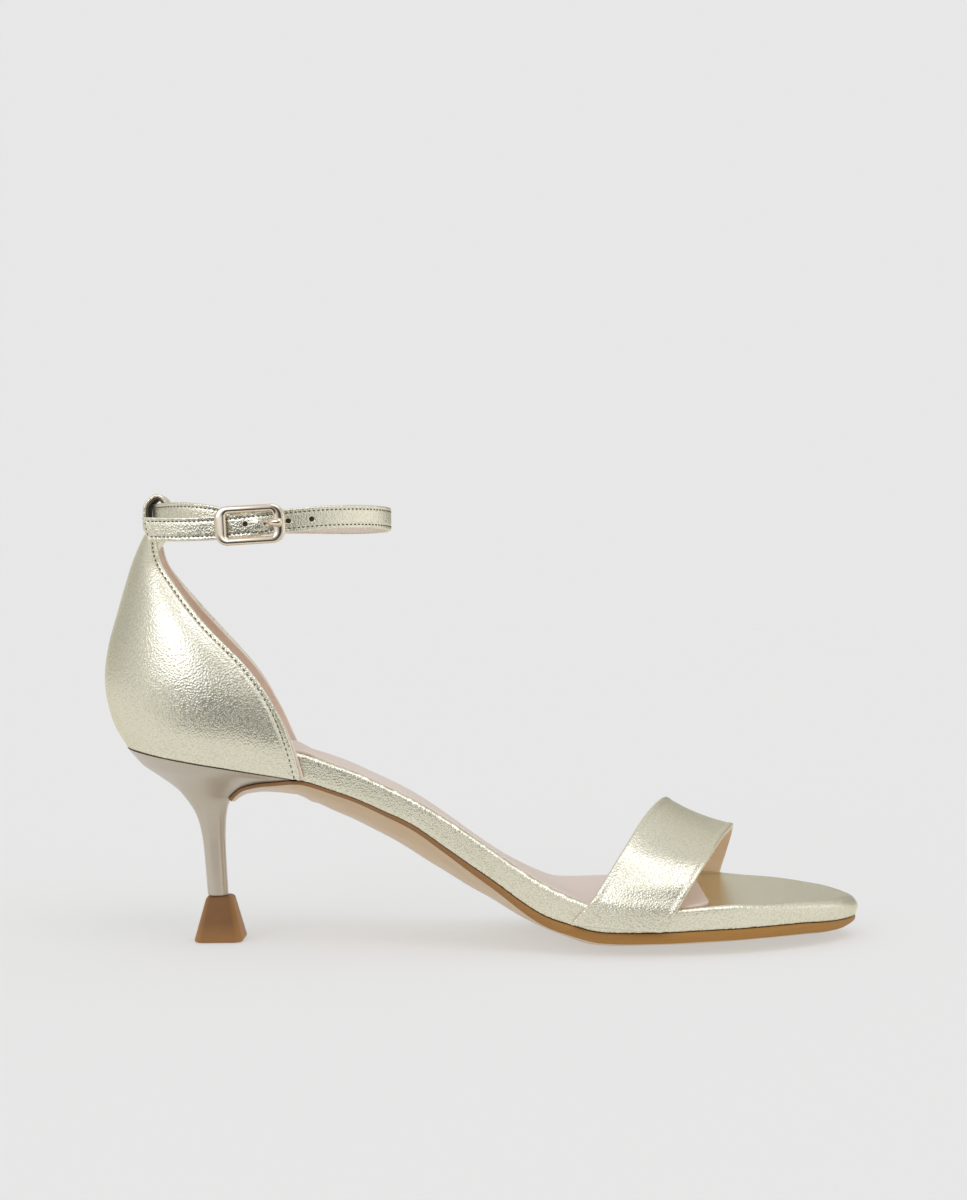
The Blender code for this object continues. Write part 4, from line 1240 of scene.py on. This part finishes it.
loop_middle = smooth_route(LOOP_ROUTE, LOOP_STEP)
loop_face = ribbon(loop_middle, -ACROSS_FOOT, LOOP_WIDE, LOOP_COLUMNS, -LOOP_THICK / 2)
heel_loop = leather_sheet("heel_loop_strip", loop_face, LOOP_LEATHER, foil_leather)
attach(heel_loop, "root")
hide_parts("heel_loop")

# A dark sheet inside the loop: painted shade for the shaded inside of the folded strip.
loop_painted_shade, tree, shader, place = new_finish("loop_painted_shade", Roughness=0.8)
colour(tree, shader, speckle(tree, place, 1500.0, 3.0), LOOP_PAINTED_SHADE, LOOP_PAINTED_SHADE_LIGHT)
loop_back = LOOP_LEATHER - LOOP_THICK / 2
loop_inside = ribbon(loop_middle, -ACROSS_FOOT, LOOP_SHADE_SHEET_WIDE, LINING_COLUMNS, loop_back)
loop_shade_sheet = leather_sheet("heel_loop_backing", loop_inside, LOOP_THICK - LOOP_LEATHER, loop_painted_shade)
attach(loop_shade_sheet, "root")

# Buckle: a cast frame with round corners and a dropped bar across its middle, polished and
# plated in pale gold.
BUCKLE_TILT = math.radians(3)
BUCKLE_LEAN = math.radians(4)
BUCKLE_SHIFT = (-0.7, -0.4, 0.0)
BUCKLE_LONG = 21.5
BUCKLE_HIGH = 12.0
BUCKLE_END = 3.6
BUCKLE_RAIL = 2.25
BUCKLE_THICK = 1.6
BUCKLE_ROUND = 4.0
BUCKLE_INNER_ROUND = 0.9
BUCKLE_CURVE = 75.0
CORNER_STEPS = 14
RAIL_PROFILE = (
    (0.0, 0.5), (0.0, -0.12), (0.03, -0.3), (0.1, -0.44), (0.2, -0.52), (0.34, -0.56), (0.6, -0.56),
    (0.76, -0.52), (0.88, -0.42), (0.96, -0.28), (1.0, -0.1), (1.0, 0.5),
)
BUCKLE_SHARP = math.radians(60)
ROD_SIDES = 16
GILT = (0.86, 0.755, 0.61, 1.0)
GILT_DEEP = (0.80, 0.69, 0.54, 1.0)
gilt_metal, tree, shader, place = new_finish("gilt_metal", Metallic=1.0)
cloud = speckle(tree, place, 420.0, 3.0)
roughen(tree, shader, cloud, 0.07, 0.13)
colour(tree, shader, cloud, GILT, GILT_DEEP)


def frame_outline(share):
    """Rounded outline of the frame, from its outer edge at 0 to its inner edge at 1."""
    radius = lerp(BUCKLE_ROUND, BUCKLE_INNER_ROUND, share)
    half_long = BUCKLE_LONG / 2 - BUCKLE_END * share - radius
    half_high = BUCKLE_HIGH / 2 - BUCKLE_RAIL * share - radius
    loop = []
    for corner, (sx, sz) in enumerate(((1, 1), (-1, 1), (-1, -1), (1, -1))):
        for k in range(CORNER_STEPS):
            turn = math.pi / 2 * (corner + k / (CORNER_STEPS - 1))
            x, z = radius * math.cos(turn), radius * math.sin(turn)
            loop.append((sx * half_long + x, sz * half_high + z))
    return loop


def round_rod(name, middle, radii, finish):
    """A round rod along a line, with one radius for each of its points."""
    rings = []
    for i, centre in enumerate(middle):
        along = middle[min(i + 1, len(middle) - 1)] - middle[max(i - 1, 0)]
        along = along / np.linalg.norm(along)
        hint = UP if abs(along[2]) < 0.9 else np.array((1.0, 0.0, 0.0))
        side = np.cross(along, hint)
        side /= np.linalg.norm(side)
        top = np.cross(side, along)
        turns = np.linspace(0, 2 * math.pi, ROD_SIDES, endpoint=False)
        rings.append([centre + (side * math.cos(t) + top * math.sin(t)) * radii[i] for t in turns])
    points, faces = [], []
    add_tube(points, faces, rings)
    return mesh_piece(name, points, faces, [finish])


points, faces = [], []
tilt = np.array(Matrix.Rotation(-BUCKLE_TILT, 3, "Y") @ Matrix.Rotation(-BUCKLE_LEAN, 3, "X"))
buckle_centre = np.array((BUCKLE_X, BUCKLE_Y, BUCKLE_Z))
frame_centre = buckle_centre + np.array(BUCKLE_SHIFT)
for share, out in RAIL_PROFILE:
    for x, z in frame_outline(share):
        bend = x * x / (2 * BUCKLE_CURVE)
        points.append(frame_centre + tilt @ np.array((x, out * BUCKLE_THICK + bend, z)))
around = 4 * CORNER_STEPS
for k in range(len(RAIL_PROFILE)):
    for n in range(around):
        a, b = k * around, (k + 1) % len(RAIL_PROFILE) * around
        m = (n + 1) % around
        faces.append((a + n, a + m, b + m, b + n))
buckle = mesh_piece("buckle", points, faces, [gilt_metal])
buckle.data.set_sharp_from_angle(angle=BUCKLE_SHARP)
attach(buckle, "root")
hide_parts("buckle_frame")

BAR_BEND = 0.5
bar_end = BUCKLE_HIGH / 2 - BUCKLE_RAIL / 2
bar_half = [(0, 0, bar_end), (0, BAR_DROP - BAR_BEND, bar_end), (0, BAR_DROP, bar_end - BAR_BEND)]
bar_path = bar_half + [(x, y, -z) for x, y, z in bar_half[::-1]]
bar_middle = buckle_centre + np.array(bar_path)
buckle_bar = round_rod("buckle_bar", bar_middle, [BAR_RADIUS] * len(bar_middle), gilt_metal)
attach(buckle_bar, "root")

# Prong: a bent pin that turns on the bar, comes out through a hole in the strap and rests its
# blunt tip on the frame.
PRONG_RADIUS = 0.6
PRONG_STEP = 0.3
PRONG_CURL = range(130, 9, -20)
PRONG_ROUTE = [
    (3.4, -0.45, 0.3, 0.6),
    (4.5, -2.0, 0.5, 0.65),
    (5.2, -4.5, 0.6, 0.75),
    (6.2, -5.5, 0.6, 1.0),
    (7.6, -5.75, 0.6, 1.25),
    (8.8, -5.75, 0.6, 1.2),
    (9.4, -5.7, 0.6, 0.8),
    (9.75, -5.7, 0.6, 0.25),
]
curl_radius = BAR_RADIUS + GAP + PRONG_RADIUS
prong_line = [
    (math.cos(math.radians(d)) * curl_radius, math.sin(math.radians(d)) * curl_radius, 0.0, PRONG_RADIUS)
    for d in PRONG_CURL
]
prong_line = smooth_route(prong_line + PRONG_ROUTE, PRONG_STEP)
prong = round_rod("buckle_pin", bar_centre + prong_line[:, :3], prong_line[:, 3], gilt_metal)
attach(prong, "root")
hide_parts("buckle_prong")

# Studio: a pale acrylic floor in a white light tent, as in a catalogue photograph. One softbox
# stands at the front left and one hangs at the front right, and the tent is dark where the camera
# looks in. The camera faces the outer side, level with the top of the shoe.
FLOOR_HALF = 6.0
FLOOR_FRONT = -0.277
FLOOR_DROP = -0.0002
BACKDROP = (0.80, 0.80, 0.80, 1.0)
FLOOR_TONE = (0.44, 0.42, 0.40, 1.0)
FLOOR_GLOW = (0.415, 0.430, 0.431, 1.0)
floor_mesh = bpy.data.meshes.new("floor")
front = [(x, FLOOR_FRONT, FLOOR_DROP) for x in (-FLOOR_HALF, FLOOR_HALF)]
back = [(x, FLOOR_HALF, FLOOR_DROP) for x in (FLOOR_HALF, -FLOOR_HALF)]
floor_mesh.from_pydata(front + back, [], [(0, 1, 2, 3)])
floor = bpy.data.objects.new("floor", floor_mesh)
bpy.context.scene.collection.objects.link(floor)
floor_finish = new_finish(
    "floor_acrylic",
    Roughness=1.0,
    Specular_IOR_Level=0.0,
    Base_Color=FLOOR_TONE,
    Emission_Color=FLOOR_GLOW,
    Emission_Strength=1.0,
)[0]
floor_mesh.materials.append(floor_finish)

world = bpy.data.worlds.new("studio")
bpy.context.scene.world = world
world.use_nodes = True
tree = world.node_tree
tree.nodes.clear()
direction = add_node(tree, "ShaderNodeTexCoord").outputs["Generated"]
up = add_node(tree, "ShaderNodeSeparateXYZ", Vector=direction).outputs["Z"]


def soft_step(value, low, high):
    """Output that goes smoothly from 0 at the low value to 1 at the high one."""
    smooth = {"interpolation_type": "SMOOTHSTEP"}
    step = add_node(tree, "ShaderNodeMapRange", smooth, Value=value, From_Min=low, From_Max=high)
    return step.outputs["Result"]


def lobe(azimuth, elevation, reach, core):
    """Soft round patch of the tent: 1 within the core angle of a direction, 0 beyond its reach."""
    azimuth, elevation = math.radians(azimuth), math.radians(elevation)
    level = math.cos(elevation)
    aim = (math.sin(azimuth) * level, -math.cos(azimuth) * level, math.sin(elevation))
    near = add_node(tree, "ShaderNodeVectorMath", {"operation": "DOT_PRODUCT"})
    for socket, value in zip(near.inputs, (direction, aim)):
        feed(tree, socket, value)
    edges = math.cos(math.radians(reach)), math.cos(math.radians(core))
    return soft_step(near.outputs["Value"], *edges)


def grey(value):
    return (value, value, value, 1.0)


TENT = grey(0.70)
LEFT_BACK = grey(0.50)
FILL = grey(1.05)
RIGHT_BACK = grey(0.42)
BEHIND_CAMERA = grey(0.06)
SOFTBOX = (2.60, 2.64, 3.00, 1.0)
TOP_BOX = (2.00, 2.03, 2.30, 1.0)
box_share = reckon(tree, "MULTIPLY", lobe(-31, 22, 27, 6), soft_step(up, 0.11, 0.30))
dark_share = reckon(tree, "MULTIPLY", lobe(-10, -10, 42, 20), soft_step(up, 0.18, -0.01))
tent = TENT
for share, tone in (
    (lobe(82, 0, 38, 8), FILL),
    (lobe(-115, 5, 42, 15), LEFT_BACK),
    (lobe(145, 5, 36, 12), RIGHT_BACK),
    (dark_share, BEHIND_CAMERA),
    (lobe(14, 12, 14, 4), BEHIND_CAMERA),
    (lobe(32, 58, 26, 8), TOP_BOX),
    (box_share, SOFTBOX),
):
    tent = mix_colours(tree, share, tent, tone)
soft_light = add_node(tree, "ShaderNodeBackground", Color=tent)
plain = add_node(tree, "ShaderNodeBackground", Color=BACKDROP)
seen = add_node(tree, "ShaderNodeLightPath").outputs["Is Camera Ray"]
both = add_node(tree, "ShaderNodeMixShader", Fac=seen)
tree.links.new(soft_light.outputs["Background"], both.inputs[1])
tree.links.new(plain.outputs["Background"], both.inputs[2])
add_node(tree, "ShaderNodeOutputWorld", Surface=both.outputs["Shader"])

CAMERA_PLACE = (0.0008, -0.620, 0.1068)
CAMERA_ROLL = math.radians(-0.45)
CAMERA_LENS = 58.7
CAMERA_SENSOR = 36.0
camera_data = bpy.data.cameras.new("camera")
camera_data.lens = CAMERA_LENS
camera_data.sensor_width = CAMERA_SENSOR
camera = bpy.data.objects.new("camera", camera_data)
bpy.context.scene.collection.objects.link(camera)
camera.matrix_world = (
    Matrix.Translation(CAMERA_PLACE)
    @ Matrix.Rotation(math.radians(90), 4, "X")
    @ Matrix.Rotation(CAMERA_ROLL, 4, "Z")
)
bpy.context.scene.camera = camera
bpy.context.scene.view_settings.view_transform = "Standard"
